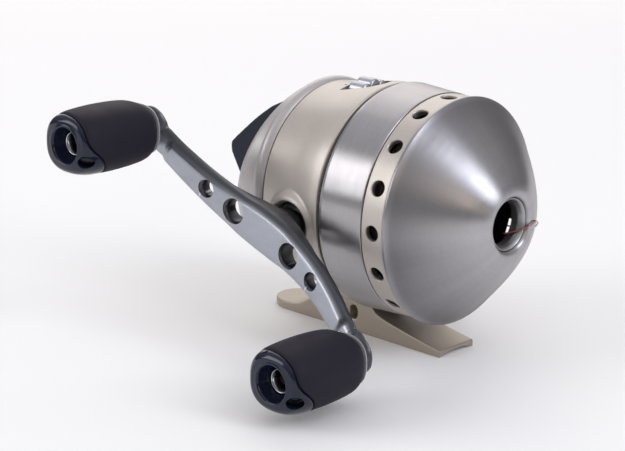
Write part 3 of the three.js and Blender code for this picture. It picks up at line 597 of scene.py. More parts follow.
def raised_boss(points, which, side, top, lip, fall):
    """Raises a round, softly flared boss about the crank on one side."""
    facing, widest, blend, rounds = 0.5, 13, 0.8, 12
    x, y, z = points[which].T
    radius = np.hypot(y, z)
    cos, sin = y / radius, z / radius
    near = (side * cos > facing) & (np.hypot(x - CRANK_X, z - CRANK_Z) < widest)
    outward = np.where(near, side * cos, 1)
    reach = radius.copy()
    for _ in range(rounds):
        away = np.hypot(x - CRANK_X, reach * sin - CRANK_Z)
        height = top - fall * np.maximum(0, away - lip) ** 2
        reach = (reach + np.clip(height / outward, radius - 2, top + 1)) / 2
    made = np.where(near, smooth_max(radius, reach, blend), radius)
    points[which, 1], points[which, 2] = made * cos, made * sin


def sunk_scoop(points, which, centre, radii):
    """Sinks the skin under an ellipsoid, for the dished scoop round the drag dial."""
    nowhere, blend = 99, 0.5
    x, y, z = points[which].T
    radius = np.hypot(y, z)
    cos, sin = y / radius, z / radius
    a = (cos / radii[1]) ** 2 + (sin / radii[2]) ** 2
    b = -2 * sin * centre[2] / radii[2] ** 2
    c = ((x - centre[0]) / radii[0]) ** 2 + (centre[2] / radii[2]) ** 2 - 1
    inside = b * b - 4 * a * c
    enters = np.where(inside > 0, (-b - np.sqrt(np.maximum(inside, 0))) / (2 * a), nowhere)
    enters = np.where(sin > 0, enters, nowhere)
    made = smooth_min(radius, enters, blend)
    points[which, 1], points[which, 2] = made * cos, made * sin


def body_housing(paint):
    """The main shell: the crank's bosses, the dial's scoop and slot, two pinholes."""
    outer = through([(-40.3, 27.55), (-38, 27.85), (-34, 28.35), (-30, 28.95), (-26, 29.75),
                     (-22.2, 30.3), (-19.2, 30.4)], 5)
    profile = rounded([
        (-42.5, 24.8), (-42.5, 26.2), (-40.6, 26.2), (-40.6, 27.3), *outer, (-18.9, 30.15),
        (-18.9, 29.4), (-13.8, 29.4), (-13.8, 28.2), (-22, 28.2), (-30, 27.2), (-38, 26.2), (-40.6, 24.8),
    ], 0.22, steps=2)
    points, faces = turned(dense(profile, 0.45), 400)
    skin = on_outside(points, [-40.6, -38, -30, -22, -19], [26.6, 27, 28, 29.2, 29.6], -40.55, -19)
    raised_boss(points, skin, -1, 31, 6.9, 0.45)
    raised_boss(points, skin, 1, 30, 6.2, 0.5)
    sunk_scoop(points, skin, (CRANK_X, 0, 33), (8.5, 13, 4.6))
    shell = make("housing_shell", points, faces)
    combine(shell, [rod(8, -27.8, -15.5, "y", CRANK), rod(6.6, 21, 27.6, "y", CRANK)], "UNION")
    mouth = lathe("cutter", [(-33, 0), (-33, 7.3), (-31, 6.9), (-30.6, 6.5), (-30, 6.3), (-15, 6.3),
                             (-15, 0)], 96, "y", CRANK)
    pinholes = [rod(0.42, 28, 33, "z", place, 24) for place in ((-33.1, -3.4, 0), (-34.3, -4.6, 0))]
    combine(shell, [mouth, rod(4.3, 20, 31, "y", CRANK), rod(9.2, -31.8, -24.7, "x", DIAL, 96), *pinholes])
    return finish_piece(shell, "body", "body_housing", paint)


def rear_cover(paint):
    """The rear cup: bead, leaning back, the button's window, two screw wells."""
    bead = through([(-41.3, 27.75), (-42.1, 28.2), (-43, 28.3), (-43.9, 27.95), (-44.5, 27.35)], 4)
    back = through([(-45.3, 27.05), (-47.5, 26.9), (-50, 26.55), (-51.9, 25.6), (-53.4, 24.1),
                    (-55, 21.6), (-56, 18.8), (-56.7, 12), (-57, 0)], 6)
    inner = dense([(-55.6, 0), (-55.2, 15), (-54.2, 18.6), (-52.6, 22.6), (-49.6, 25.2), (-45, 25.6),
                   (-42.6, 26.5), (-40.9, 26.5)], 0.6, closed=False)
    outer = dense([(-40.9, 27.3), *bead, (-44.7, 27.1), *back], 0.5, closed=False)
    around = 288
    points, faces = turned(inner + outer, around)
    lean_back(points, len(inner) * around)
    shell = make("rear_shell", points, faces)
    window = prism("cutter", [(-14.5, -1.8), (14.5, -1.8), (14.5, 40), (-14.5, 40)], -60, -44.2, "x")
    combine(window, [rod(25.3, -61, -43, "x", segments=144)], "INTERSECT")
    well = [(-62, 0), (-62, 3.2), (-56, 3), (-53.6, 2.8), (-53.6, 1.5), (-30, 1.5), (-30, 0)]
    wells = [lathe("cutter", well, 48, "x", cover_screw_place(side)) for _, side in SIDES]
    combine(shell, [window, *wells])
    return finish_piece(shell, "body", "rear_cover", paint)


def lean_back(points, inner_count):
    """Flattens the cup's back along a plane that leans forward towards the top."""
    back, slope, wall, rim, blend = -52.5, 0.27, 1.5, -44.6, 1.6
    inside = np.arange(len(points)) < inner_count
    limit = back + slope * points[:, 2] + np.where(inside, wall, 0)
    leaning = points[:, 0] < rim
    points[:, 0] = np.where(leaning, smooth_max(points[:, 0], limit, blend), points[:, 0])


def front_cover(steel):
    """A sleeve over the body, the groove under the vent band, and the cone."""
    cone = through([(6.3, 29.15), (8, 27.45), (11, 24.4), (14, 21.2), (17, 17.65), (19.2, 14.75),
                    (20.6, 12.5), (21.6, 10.6), (22.05, 9.3), (22.1, 8.3), (21.85, 7.6), (21.35, 7.27)], 5)
    sleeve = rounded([(-17.7, 29.95), (-17.7, 30.5), (-16.5, 31.05), (-3.4, 30.4), (-3.4, 29.25),
                      (4.1, 29.25), (4.1, 30.72), (4.75, 30.8), (5.15, 30.35), (5.45, 30.02)],
                     0.28, closed=False)
    inner = [(20.9, 7.25), (19.8, 7.25), (20.4, 9.4), (19.2, 12.6), (15.2, 18.2), (10.3, 23.5),
             (5.2, 28.3), (-4.6, 28.3), (-7, 29.6), (-17.2, 29.95)]
    cover = make("steel_cover", *turned(dense([*sleeve, *cone, *inner], 1.2), 288))
    combine(cover, [vent_cutters([(26, 0), (26, 2.4), (29.27, 2.4), (29.27, 0)])])
    return finish_piece(cover, "front_cover", "front_cover", steel)


def vent_band(paint):
    """The painted band, each vent hole countersunk from outside."""
    inner, outer = 29.55, 30.25
    profile = rounded(band(-3.1, 3.8, inner, outer), 0.22, steps=3)
    ring = make("vented_band", *turned(dense(profile, 0.8), 320))
    hole = [(27, 0), (27, 2.1), (outer - 0.28, 2.1), (outer - 0.1, 2.2), (outer + 0.1, 2.42),
            (33, 2.42), (33, 0)]
    combine(ring, [vent_cutters(hole)])
    return finish_piece(ring, "front_cover", "vent_band", paint, 25)


def line_guide_ring(metal):
    profile = rounded([(17.4, 5.9), (17.4, 8.6), (18.2, 8.6), (18.2, 7.17), (20.8, 7.17), (21.3, 7.0),
                       (21.25, 6.75), (20.6, 6.35), (19.4, 5.92)], 0.25)
    ring = lathe("nose_ring", profile, 160)
    return finish_piece(ring, "front_cover", "line_guide_ring", metal)


def seal_ring(rubber):
    ring = lathe("seam_gasket", rounded(band(-18.6, -18.0, 29.45, 29.8), 0.12), 240)
    return finish_piece(ring, "body", "seal_ring", rubber)


def reel_foot(paint):
    """The side outline, cropped in plan and cut to sit on the body and the rod."""
    top = through([(5.7, SEAT + 1.9), (-1.4, SEAT + 3.1), (-8.4, SEAT + 4.5), (-14, SEAT + 5.7),
                   (-17.4, SEAT + 7.1), (-18.7, SEAT + 9), (-19, SEAT + 12)], 4)
    rear = through([(-37, SEAT + 12), (-38.6, SEAT + 8.2), (-42.5, SEAT + 4.6), (-47.5, SEAT + 2.6),
                    (-58, SEAT + 2.3)], 4)
    foot = prism("foot_casting", [(-58, SEAT), (5.7, SEAT), *top, *rear], -7, 7)
    end = [(-51 + 7 * math.cos(a), 7 * math.sin(a)) for a in np.linspace(math.pi / 2, 1.5 * math.pi, 40)]
    plan = prism("cutter", [*end, (5.7, -7), (5.7, 7)], SEAT - 1, SEAT + 14, "z")
    saddle = lathe("cutter", [(-46, 0), (-46, 27.9), (-38, 28.1), (-30, 29.2), (-22.2, 30.65),
                              (-10, 30.9), (-10, 0)], 160)
    arches = [rod(26, low, high, "x", (0, 0, SEAT - 25.1), 160) for low, high in ((-60, -46), (-8, 7))]
    combine(foot, [plan], "INTERSECT")
    combine(foot, [saddle, foot_slot(), *arches])
    soften(foot, 0.24, 8)
    return finish_piece(foot, "body", "reel_foot", paint, 60)


def foot_slot():
    """Small oval recess in the side of the foot's neck."""
    corners = [(-26.5, SEAT + 3.4), (-23.8, SEAT + 3.4), (-23.8, SEAT + 7.4), (-26.5, SEAT + 7.4)]
    return prism("cutter", rounded(corners, 1.6, steps=8), -10, -3.4)


# ---- crank arm and knobs -------------------------------------------------
ARM_TILT = math.radians(31.5)
ARM_ALONG = np.array((math.cos(ARM_TILT), 0, -math.sin(ARM_TILT)))
ARM_ACROSS = np.array((math.sin(ARM_TILT), 0, math.cos(ARM_TILT)))
ARM_HALF, ARM_FACE, ARM_BOW = 43.5, -40.6, 0.0037
TAB_RADIUS = 5.4


def arm_sway(s):
    """How far the arm's S-curve leaves its straight line."""
    return 2.7 * np.sin(math.pi * np.clip(s, -ARM_HALF, ARM_HALF) / ARM_HALF)


def arm_face(s):
    """Outer face of the arm: bowed, with a step down to each knob's tab."""
    step_start, step_run, step_depth = 34.4, 2.2, 0.9
    reach = np.minimum(np.abs(s), ARM_HALF)
    step = np.clip((np.abs(s) - step_start) / step_run, 0, 1)
    return ARM_FACE - ARM_BOW * reach ** 2 + step_depth * step * step * (3 - 2 * step)


def arm_half_width(s):
    """Tapered from the hub, then the round tab under each knob."""
    blend, waist_end = 0.8, 40
    widths = np.array(through([(0, 5.9), (6, 5.7), (11, 5.1), (20, 4.45), (29, 3.9), (36, 3.6),
                               (ARM_HALF, 4.2)], 8))
    reach = np.abs(s)
    arm = np.where(reach <= ARM_HALF, np.interp(reach, widths[:, 0], widths[:, 1]), 0)
    tab = np.sqrt(np.maximum(TAB_RADIUS ** 2 - (reach - ARM_HALF) ** 2, 0))
    waist = 0.2 * (tab > arm - blend) * (reach < waist_end)
    return np.where(reach > ARM_HALF, tab, smooth_max(arm, tab, blend) - waist)


def arm_section(s):
    """One slice across the arm, a wide bevel on its upper edge, as points of the reel's frame."""
    thick, hub_thick, hub_reach = 3.4, 3.2, 16
    half, face = float(arm_half_width(s)), float(arm_face(s))
    stepped = face - ARM_FACE + ARM_BOW * min(abs(s), ARM_HALF) ** 2
    depth = thick + hub_thick * max(0, 1 - abs(s) / hub_reach) - stepped
    k = min(1, half / 2.6)
    crown = 0.18 * k
    outline = [
        (-half + 0.5 * k, depth), (-half + 0.14 * k, depth - 0.15), (-half, depth - 0.5), (-half, 1.15),
        (-half + 0.1 * k, 0.72), (-half + 0.42 * k, 0.3), (-half + 0.95 * k, 0.08),
        (-half * 0.5, -crown * 0.4), (0, -crown * 0.5),
        (half * 0.35, -crown * 0.2), (half - 1.9 * k, 0.06), (half - 1.55 * k, 0.2), (half - 0.35 * k, 1.25),
        (half - 0.08 * k, 1.6), (half, 2.0), (half, depth - 0.5), (half - 0.14 * k, depth - 0.15),
        (half - 0.5 * k, depth), (0, depth),
    ]
    return [CRANK + ARM_ALONG * s + ARM_ACROSS * (u + float(arm_sway(s))) + np.array((0, face + v, 0))
            for u, v in outline]


def handle_arm(cast):
    """Slices lofted from tip to tip, the hub, and the holes through it."""
    tips = ARM_HALF + TAB_RADIUS * np.sin(np.linspace(0, math.pi / 2 - 0.04, 18))
    half = np.concatenate([np.linspace(0, ARM_HALF, 120, endpoint=False), tips])
    stations = np.concatenate([-half[:0:-1], half])
    rings = [arm_section(s) for s in stations]
    points, faces = loft(rings, closed=False)
    around = len(rings[0])
    faces += [tuple(range(around)), tuple(range(len(points) - around, len(points)))]
    arm = make("crank_arm", points, faces)
    hub = rounded(band(-36, -30.4, 0, 5), 0.3, closed=False)
    combine(arm, [lathe("cutter", hub, 96, "y", CRANK)], "UNION")
    tools = [rod(2.9, -37, -29, "y", CRANK)]
    outside, inside = -56, -29
    for s, radius in ((10.4, 3.0), (20.4, 2.0)):
        face = float(arm_face(s))
        hole = [(outside, 0), (outside, radius + 0.62), (face - 0.05, radius + 0.62),
                (face + 0.12, radius + 0.42), (face + 0.55, radius + 0.06), (face + 0.9, radius - 0.05),
                (inside, radius - 0.05), (inside, 0)]
        for side in (-1, 1):
            centre = CRANK + ARM_ALONG * side * s + ARM_ACROSS * float(arm_sway(side * s))
            tools.append(lathe("cutter", hole, 72, "y", centre))
    for side in (-1, 1):
        tools.append(rod(PIN_HOLE, outside, inside, "y", CRANK + ARM_ALONG * side * ARM_HALF))
    combine(arm, [merged(tools)])
    return finish_piece(arm, "crank", "handle_arm", cast, 24)


KNOB_BASE, KNOB_TIP = -48.2, 27.36
KNOB_PROFILE = np.array(through([(0, 5.1), (2, 7.0), (4.5, 8.0), (9, 8.45), (15, 8.62), (20, 8.5),
                                 (23.5, 8.2), (26, 7.5), (27.1, 6.5), (KNOB_TIP, 5.6)], 8))
KNOB_BOXY, KNOB_WIDEN, KNOB_AROUND = 2.48, 1.1, 160
GRIP_BORE, CORE_RADIUS, PIN_HOLE = 4.75, 4.4, 2.25
PHI = round_turn(KNOB_AROUND)


def knob_skin(distance):
    return np.interp(distance, KNOB_PROFILE[:, 0], KNOB_PROFILE[:, 1])


def knob_ring(centre, distance, drop=0.0):
    """A ring round the knob's boxy skin, or that far under it, at distances from its base."""
    cos, sin = np.cos(PHI), np.sin(PHI)
    boxy = (np.abs(cos) ** KNOB_BOXY + np.abs(sin) ** KNOB_BOXY) ** (-1 / KNOB_BOXY)
    return knob_round(centre, distance, knob_skin(distance) * boxy - drop, KNOB_WIDEN)


def knob_round(centre, distance, radius, widen=1.0):
    """A plain round ring, for the knob's bore and mouth."""
    distance = np.broadcast_to(np.asarray(distance, float), PHI.shape)
    x, z = radius * np.cos(PHI) * widen, radius * np.sin(PHI)
    return np.stack([centre[0] + x, KNOB_BASE - distance, centre[2] + z], 1)


def knob_split(radius=None):
    """Where the shell ends, for each angle: nearly at the tip above, well back below."""
    middle, swing, shift, run, slant = 23.2, 3.5, 1.9, 3.2, 1.5
    sin, cos = np.sin(PHI), np.cos(PHI)
    distance = np.full(KNOB_AROUND, 22.0)
    for _ in range(30):
        up = sin * (knob_skin(distance) if radius is None else radius)
        target = middle + swing * np.tanh((up + shift) / run) - slant * (1 - cos)
        distance = (distance + target) / 2
    return np.clip(distance, 15, 26.5)


def knob_grip(name, centre, body, node, rubber):
    """The soft shell, out to its slanting end and back along its bore."""
    split, inner = knob_split(), knob_split(4.8)
    rings = [knob_round(centre, 1.3, GRIP_BORE), knob_ring(centre, 1.3, 0.5), knob_ring(centre, 1.35, 0.2),
             knob_ring(centre, 1.6)]
    for v in np.linspace(0, 1, 56)[1:]:
        rings.append(knob_ring(centre, 1.6 + (split - 0.75 - 1.6) * v))
    for drop, back in ((0.04, 0.45), (0.16, 0.24), (0.36, 0.12), (0.7, 0.1)):
        rings.append(knob_ring(centre, split - back, drop))
    rings.append(knob_round(centre, inner - 0.2, GRIP_BORE))
    for v in np.linspace(0, 1, 12)[1:-1]:
        rings.append(knob_round(centre, inner - 0.2 + (1.5 - inner) * v, GRIP_BORE))
    grip = make(name, *loft(rings))
    return finish_piece(grip, body, node, rubber, 60)


def knob_core(name, centre, body, node, smoke):
    """The glossy tip beyond the shell, the mouth, the pin's bore and the base flange."""
    split, inner = knob_split(), knob_split(CORE_RADIUS)
    room = np.minimum(1, (KNOB_TIP - split) / 1.6)
    rings = [knob_round(centre, inner, CORE_RADIUS), knob_ring(centre, split + 0.12, 0.85)]
    for along, drop in ((0.14, 0.45), (0.3, 0.26), (0.62, 0.04), (0.9, 0)):
        rings.append(knob_ring(centre, split + along * room, drop))
    start = split + 0.9 * room
    for v in np.linspace(0, 1, 40)[1:]:
        rings.append(knob_ring(centre, start + (KNOB_TIP - start) * v ** 0.8))
    mouth = [(27.4, 5.4), (27.5, 5.2), (27.48, 5.0), (27.3, 4.8), (26.8, 4.6), (25.8, 4.35), (24.8, 4.0),
             (24, 3.65), (23.4, 3.45), (21.4, 3.4), (21.1, 3.2)]
    bore = [(21.1, PIN_HOLE), (12, PIN_HOLE), (0.1, PIN_HOLE), (0, 2.6), (0, 6.2)]
    rings += [knob_round(centre, distance, radius) for distance, radius in mouth + bore]
    rings += [knob_ring(centre, distance + 2.2, drop) - np.array((0, -2.2, 0))
              for distance, drop in ((0.1, 0.9), (0.3, 0.72), (0.6, 0.7), (0.9, 0.8), (1, 1))]
    stem = [(1, 4.6), (1.1, CORE_RADIUS), (5, CORE_RADIUS), (15, CORE_RADIUS)]
    rings += [knob_round(centre, distance, radius) for distance, radius in stem]
    core = make(name, *loft(rings))
    combine(core, [knob_slot(centre)])
    return finish_piece(core, body, node, smoke, 40)


def knob_slot(centre):
    """Cutter for the oval pocket beside the mouth, with a softly rounded rim."""
    along, outward = np.array((0.74, 0.67, 0)), np.array((0.67, -0.74, 0))
    place = np.array((centre[0] + 7.0, KNOB_BASE - 26.3, centre[2] - 3.6))
    half_length, half_width = 2.2, 1.25
    points, faces = turned([(-3.6, 0), (-3.6, 0.85), (-3.3, 0.97), (-0.9, 1), (-0.45, 1.06), (-0.1, 1.2),
                            (0.3, 1.5), (3, 1.9), (3, 0)], 64, "z")
    placed = (points[:, :1] * half_length * along + points[:, 1:2] * half_width * np.array((0, 0, 1))
              + points[:, 2:] * outward)
    return make("cutter", placed + place, faces)


def knob_rivet(name, centre, node, metal):
    """The pin a knob turns on, headed behind the arm and flared open at its mouth."""
    profile = rounded([(-43.1, 0), (-43.1, 2.6), (-43.6, 3.2), (-44.1, 3.2), (-44.1, 1.9), (-69.6, 1.9),
                       (-69.6, 3.0), (-71.8, 3.15), (-72.4, 3.05), (-72.4, 2.85), (-71.8, 2.6), (-70, 2.1),
                       (-69.4, 1.6), (-62, 1.5), (-62, 0)], 0.25, closed=False, steps=3)
    rivet = lathe(name, profile, 64, "y", centre)
    return finish_piece(rivet, "crank", node, metal)


def knobs(rubber, smoke, metal):
    for word, side in (("rear", -1), ("front", 1)):
        centre = CRANK + ARM_ALONG * side * ARM_HALF
        body = f"{word}_knob"
        knob_grip(f"{word}_knob_shell", centre, body, f"knob_{word}_grip", rubber)
        knob_core(f"{word}_knob_lens", centre, body, f"knob_{word}_core", smoke)
        knob_rivet(f"{word}_knob_pin", centre, f"knob_{word}_rivet", metal)


# ---- thumb button and dial -----------------------------------------------
BUTTON_REAR, BUTTON_HALF = -66.4, 14.0


def button_outline(inset):
    """The button seen from the side, or that far inside it for the hollow."""
    floor = -1.2
    slope = through([(-43, 25.2 - inset * 1.3), (-47.4, 23 - inset * 1.25), (-54.8, 17.9 - inset * 1.3),
                     (-61.5 + inset * 0.4, 12.2 - inset * 1.1),
                     (BUTTON_REAR + 0.4 + inset * 1.5, 8 - inset * 0.7)], 6)
    return [*slope, (BUTTON_REAR + inset * 1.4, 6.6), (-62.4 + inset, floor + 1.1 + inset / 2),
            (-61 + inset, floor + inset), (-43, floor + inset)]


def thumb_button(plastic):
    """A hollow button with a rib down its middle and a pusher for the shaft."""
    button = prism("press_button", rounded(button_outline(0), 0.5, steps=3), -14.1, 14.1)
    plan = rounded([(-40, BUTTON_HALF), (BUTTON_REAR, BUTTON_HALF), (BUTTON_REAR, -BUTTON_HALF),
                    (-40, -BUTTON_HALF)], 1.6, closed=False)
    crown = lathe("cutter", [(-70, 0), (-70, 25.2), (-46.8, 25.2), (-45.8, 24.3), (-40, 24.3), (-40, 0)],
                  160)
    combine(button, [prism("cutter", plan, -10, 30, "z"), crown], "INTERSECT")
    hollow = prism("cutter", button_outline(2), -12, 12)
    room = rod(23.2, -63, -30, "x", segments=120)
    combine(hollow, [room], "INTERSECT")
    combine(button, [hollow, block((-44, -12, 1), (-42, 12, 16))])
    pusher = block((-50, -4, -4), (-46, 4, 4))
    rib = prism("cutter", [(-60, -1), (-60, 11.2), (-54.8, 15.4), (-50, 18), (-46, 18), (-46, -1)],
                -1.2, 1.2)
    combine(button, [pusher, rib], "UNION")
    combine(button, [block((-46, -4.5, -5), (-40, 4.5, 5))])
    soften(button, 0.26, 6)
    return finish_piece(button, "thumb", "thumb_button", plastic, 60)


def drag_dial(chrome):
    """Ribbed chrome wheel: broad rounded ribs with narrow scalloped valleys, chamfered sides."""
    ribs, around, crest, valley, sharpness = 12, 480, 8.3, 1.3, 0.6
    angle = round_turn(around)
    wave = np.abs(np.cos(ribs * angle / 2))
    skin = crest - valley * (1 - wave ** sharpness)
    bores = [(-31, 2.3), (-31, 5.6), (-30.6, 5.8), (-30.6, 6.3), (-31, 6.5)]
    shoulders = [(-31, 0.6), (-30.9, 0.35), (-30.7, 0.14), (-30.4, 0.02), (-30, 0), (-28.2, 0), (-26.5, 0),
                 (-26.1, 0.02), (-25.8, 0.14), (-25.6, 0.35), (-25.5, 0.6)]
    stations = [(x, np.full(around, radius)) for x, radius in bores]
    stations += [(x, skin - drop) for x, drop in shoulders]
    stations += [(-25.5, np.full(around, 6.5)), (-25.5, np.full(around, 2.3))]
    rings = [np.stack([np.full(around, x), radius * np.cos(angle), DIAL[2] + radius * np.sin(angle)], 1)
             for x, radius in stations]
    wheel = make("chrome_dial", *loft(rings))
    return finish_piece(wheel, "drag", "drag_dial", chrome, 40)


# ---- works inside the covers ---------------------------------------------
def machined(name, profile, body, node, material, axis="x", centre=(0, 0, 0), cuts=(), segments=120):
    """A turned piece with every edge broken, and any slots or holes cut in it."""
    on_axis = profile[0][1] == 0 and profile[-1][1] == 0
    piece = lathe(name, rounded(profile, 0.16, closed=not on_axis, steps=2), segments, axis, centre)
    if cuts:
        combine(piece, list(cuts))
    return finish_piece(piece, body, node, material)


def polar(degrees, radius):
    return radius * math.cos(math.radians(degrees)), radius * math.sin(math.radians(degrees))


def gear_outline(teeth, root, tip):
    """Teeth with curved flanks and rounded tips, as (a, b) points about the centre."""
    shape = [(0.0, 0.0), (0.16, 0.0), (0.24, 0.12), (0.33, 0.45), (0.40, 0.82), (0.46, 1.0), (0.64, 1.0),
             (0.70, 0.82), (0.77, 0.45), (0.86, 0.12), (0.94, 0.0)]
    points = []
    for tooth in range(teeth):
        for part, rise in shape:
            angle, radius = 2 * math.pi * (tooth + part) / teeth, root + (tip - root) * rise
            points.append((radius * math.cos(angle), radius * math.sin(angle)))
    return points


def crank_works(steel, dark, brass, chrome):
    """What turns with the crank and the bearings it turns in."""
    machined("crank_bearing", [(21.4, 2.9), (21.4, 4), (30.3, 4), (30.3, 5.8), (31.1, 5.5), (31.1, 2.9)],
             "body", "crank_bushing", brass, "y", CRANK)
    machined("one_way_clutch", [(-28.5, 2.9), (-28.5, 4.2), (-28.2, 4.35), (-28.2, 5.1), (-28.5, 5.25),
                                (-28.5, 5.6), (-28.1, 6), (-17.4, 6), (-17, 5.6), (-17, 2.9)],
             "body", "anti_reverse_clutch", dark, "y", CRANK)
    machined("crank_spindle", [(-36.7, 0), (-36.7, 2.6), (31.4, 2.6), (31.4, 1.5), (22, 1.5), (22, 0)],
             "crank", "crank_shaft", steel, "y", CRANK)
    slot = block((CRANK_X - 5, 32.8, CRANK_Z - 0.45), (CRANK_X + 5, 34, CRANK_Z + 0.45))
    machined("crank_cap", [(23, 0), (23, 1.2), (31.7, 1.2), (31.7, 4.4), (32.6, 4.4), (33.1, 4), (33.4, 3.2),
                           (33.4, 0)], "crank", "crank_cap_screw", chrome, "y", CRANK, [slot])
    gear = lathe("face_gear", [(-12, 2.9), (-12, 5), (-8, 5), (-8, 10.3), (-7.7, 10.6), (-5.4, 10.6),
                               (-5.4, 2.9)], 160, "y", CRANK)
    teeth = [(CRANK_X + a, CRANK_Z + b) for a, b in gear_outline(36, 6.4, 10.6)]
    combine(gear, [prism("cutter", teeth, -5.6, -3.8)], "UNION")
    combine(gear, [rod(5.4, -4.9, -3, "y", CRANK), rod(2.9, -13, -2, "y", CRANK)])
    finish_piece(gear, "crank", "drive_gear", brass)


def shaft_works(steel, brass, duller_and_shaded):
    """The pinion and the shaft through it, with spinner head, nut and pickup pin."""
    teeth = prism("small_gear", gear_outline(10, 2.5, 3.5), -24.8, -18.2, "x")
    combine(teeth, [rod(2.7, -18.6, -12, "x")], "UNION")
    combine(teeth, [rod(1.8, -26, -11, "x")])
    finish_piece(teeth, "pinion", "pinion_gear", brass)
    machined("gear_sleeve", band(-17.2, -11.3, 3, 4), "body", "pinion_bushing", brass)
    machined("main_shaft", [(-45.7, 0), (-45.7, 1.2), (-45.3, 1.5), (-45, 1.5), (-45, 1.05), (-43.8, 1.05),
                            (-43.8, 1.5), (13.2, 1.5), (13.6, 1.1), (13.6, 0)],
             "shaft", "centre_shaft", steel)
    machined("shaft_ring", band(-44.7, -44.1, 1.35, 3.4), "shaft", "shaft_clip", steel,
             cuts=[block((-45, -0.9, 0), (-44, 0.9, 5))])
    machined("spinner_cup", [(3, 1.8), (3, 4.5), (7.1, 5.6), (6.5, 12), (4, 21.5), (-1, 21.5), (-1, 22.5),
                             (5, 22.5), (8.9, 12), (9.8, 5), (9.8, 1.8)],
             "shaft", "spinner_head", duller_and_shaded, cuts=[pickup_rod(1.35, 19, 25)], segments=240)
    nut = prism("spinner_hex", [polar(60 * i, 3.2) for i in range(6)], 10.1, 12.3, "x")
    combine(nut, [rod(3.12, 9, 13, "x", segments=96)], "INTERSECT")
    combine(nut, [rod(1.8, 9, 13, "x")])
    finish_piece(bevelled(nut, 0.12), "shaft", "spinner_nut", duller_and_shaded)
    pin = pickup_rod(1, 15, 24.4, "pickup_stud")
    combine(pin, [pickup_rod(1.9, 14, 15.4)], "UNION")
    finish_piece(bevelled(pin, 0.2), "pickup", "pickup_pin", steel)


def return_spring(steel):
    """Coil spring from the deck to the shaft's ring, made at one length; the real spring shortens as the
    thumb button goes in.
    """
    front, rear, mean, wire, turns, sides, steps = -36.3, -43.4, 2.5, 0.35, 4, 14, 64
    around = round_turn(sides)
    rings = []
    along = np.array((1, 0, 0))
    shares = np.linspace(0, 1, steps * turns + 1)
    for share, size in ((0, 0), *((share, wire) for share in shares), (1, 0)):
        angle = 2 * math.pi * turns * share
        out = np.array((0, math.cos(angle), math.sin(angle)))
        centre = out * mean + along * (rear + (front - rear) * share)
        rings.append(centre + size * (np.outer(np.cos(around), out) + np.outer(np.sin(around), along)))
    spring = make("return_spring", *loft(rings, closed=False))
    finish_piece(spring, "body", "shaft_return_spring", steel, 60)
    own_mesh(spring)


def pickup_rod(radius, inner, outer, name="cutter"):
    """A rod where the pickup pin lies, pointing out along -Y from the axis."""
    return rod(radius, -outer, -inner, "y", (1.8, 0, 0), 48, name)


def line_spool(plastic):
    machined("line_spool", [(-11.5, 5.35), (-11.5, 23), (-10.3, 23), (-10.3, 12), (-3.7, 12), (-3.7, 20.5),
                            (-2.5, 20.5), (-2.5, 10.4), (-9.3, 10.4), (-9.3, 7.2), (-2.5, 7.2), (-2.5, 5.35)],
             "spool", "spool", plastic, segments=200)


def line_coil(wound):
    """The line wound on the spool, heaped a little and ridged turn by turn."""
    rear, front, flat, heap, ridge = -9.9, -4.1, 18.8, 0.75, 0.09
    stations = np.linspace(rear, front, 121)
    bulge = flat + heap * np.sin(math.pi * (stations + 9.9) / 5.8) + ridge * np.abs(np.sin(stations * 11))
    profile = [(rear, 12.3), *zip(stations.tolist(), bulge.tolist()), (front, 12.3)]
    finish_piece(lathe("wound_coil", profile, 200), "spool", "line_winding", wound, 60)


def drag_works(steel, fibre):
    """The spool's clip, and the felt, leaf and screw that brake it."""
    machined("spool_ring", band(-2.1, -1.5, 4.5, 7), "body", "spool_clip", steel,
             cuts=[block((-3, -2, -8), (-1, 2, 0))])
    machined("drag_felt", band(-12.6, -11.8, 5.4, 10), "body", "drag_felt_washer", fibre)
    leaf = rod(9.6, -13.45, -12.9, "x", segments=96, name="drag_spring_leaf")
    combine(leaf, [block((-13.45, -3, 6), (-12.9, 3, 25))], "UNION")
    combine(leaf, [rod(5.4, -14, -12, "x", segments=96)])
    finish_piece(bevelled(leaf, 0.08), "body", "drag_leaf", steel)
    machined("drag_spindle", [(-38.2, 0), (-38.2, 3.2), (-36.9, 3.2), (-36.9, 2), (-13.8, 2), (-13.8, 0)],
             "drag", "drag_screw", steel, centre=DIAL)


def slotted_screw(name, node, metal, ends, sizes, axis="x", centre=(0, 0, 0)):
    """A slotted screw: ends are (tip, neck, top) and sizes (head, shank) radii."""
    (tip, neck, top), (head, shank) = ends, sizes
    rise = top - neck
    rim = 0.3 * rise
    floor, beyond = sorted((top - 0.55 * rise, top + rise))
    long, wide = head + 1, 0.35
    x, y, z = centre
    if axis == "x":
        slot = block((floor, y - long, z - wide), (beyond, y + long, z + wide))
    else:
        slot = block((x - long, y - wide, floor), (x + long, y + wide, beyond))
    profile = [(tip, 0), (tip, shank), (neck, shank), (neck, head), (top - 1.6 * rim, head),
               (top - 0.5 * rim, head * 0.86), (top, head * 0.6), (top, 0)]
    machined(name, profile, "body", node, metal, axis, centre, [slot], 72)


DECK_SCREWS = [(0, *polar(degrees, 24.2)) for degrees in (45, 165, 285)]
SIDES = (("right", -1), ("left", 1))


def bracket_screw_place(side):
    return 0, side * 21.8, 6


def cover_screw_place(side):
    return 0, side * 15, -11


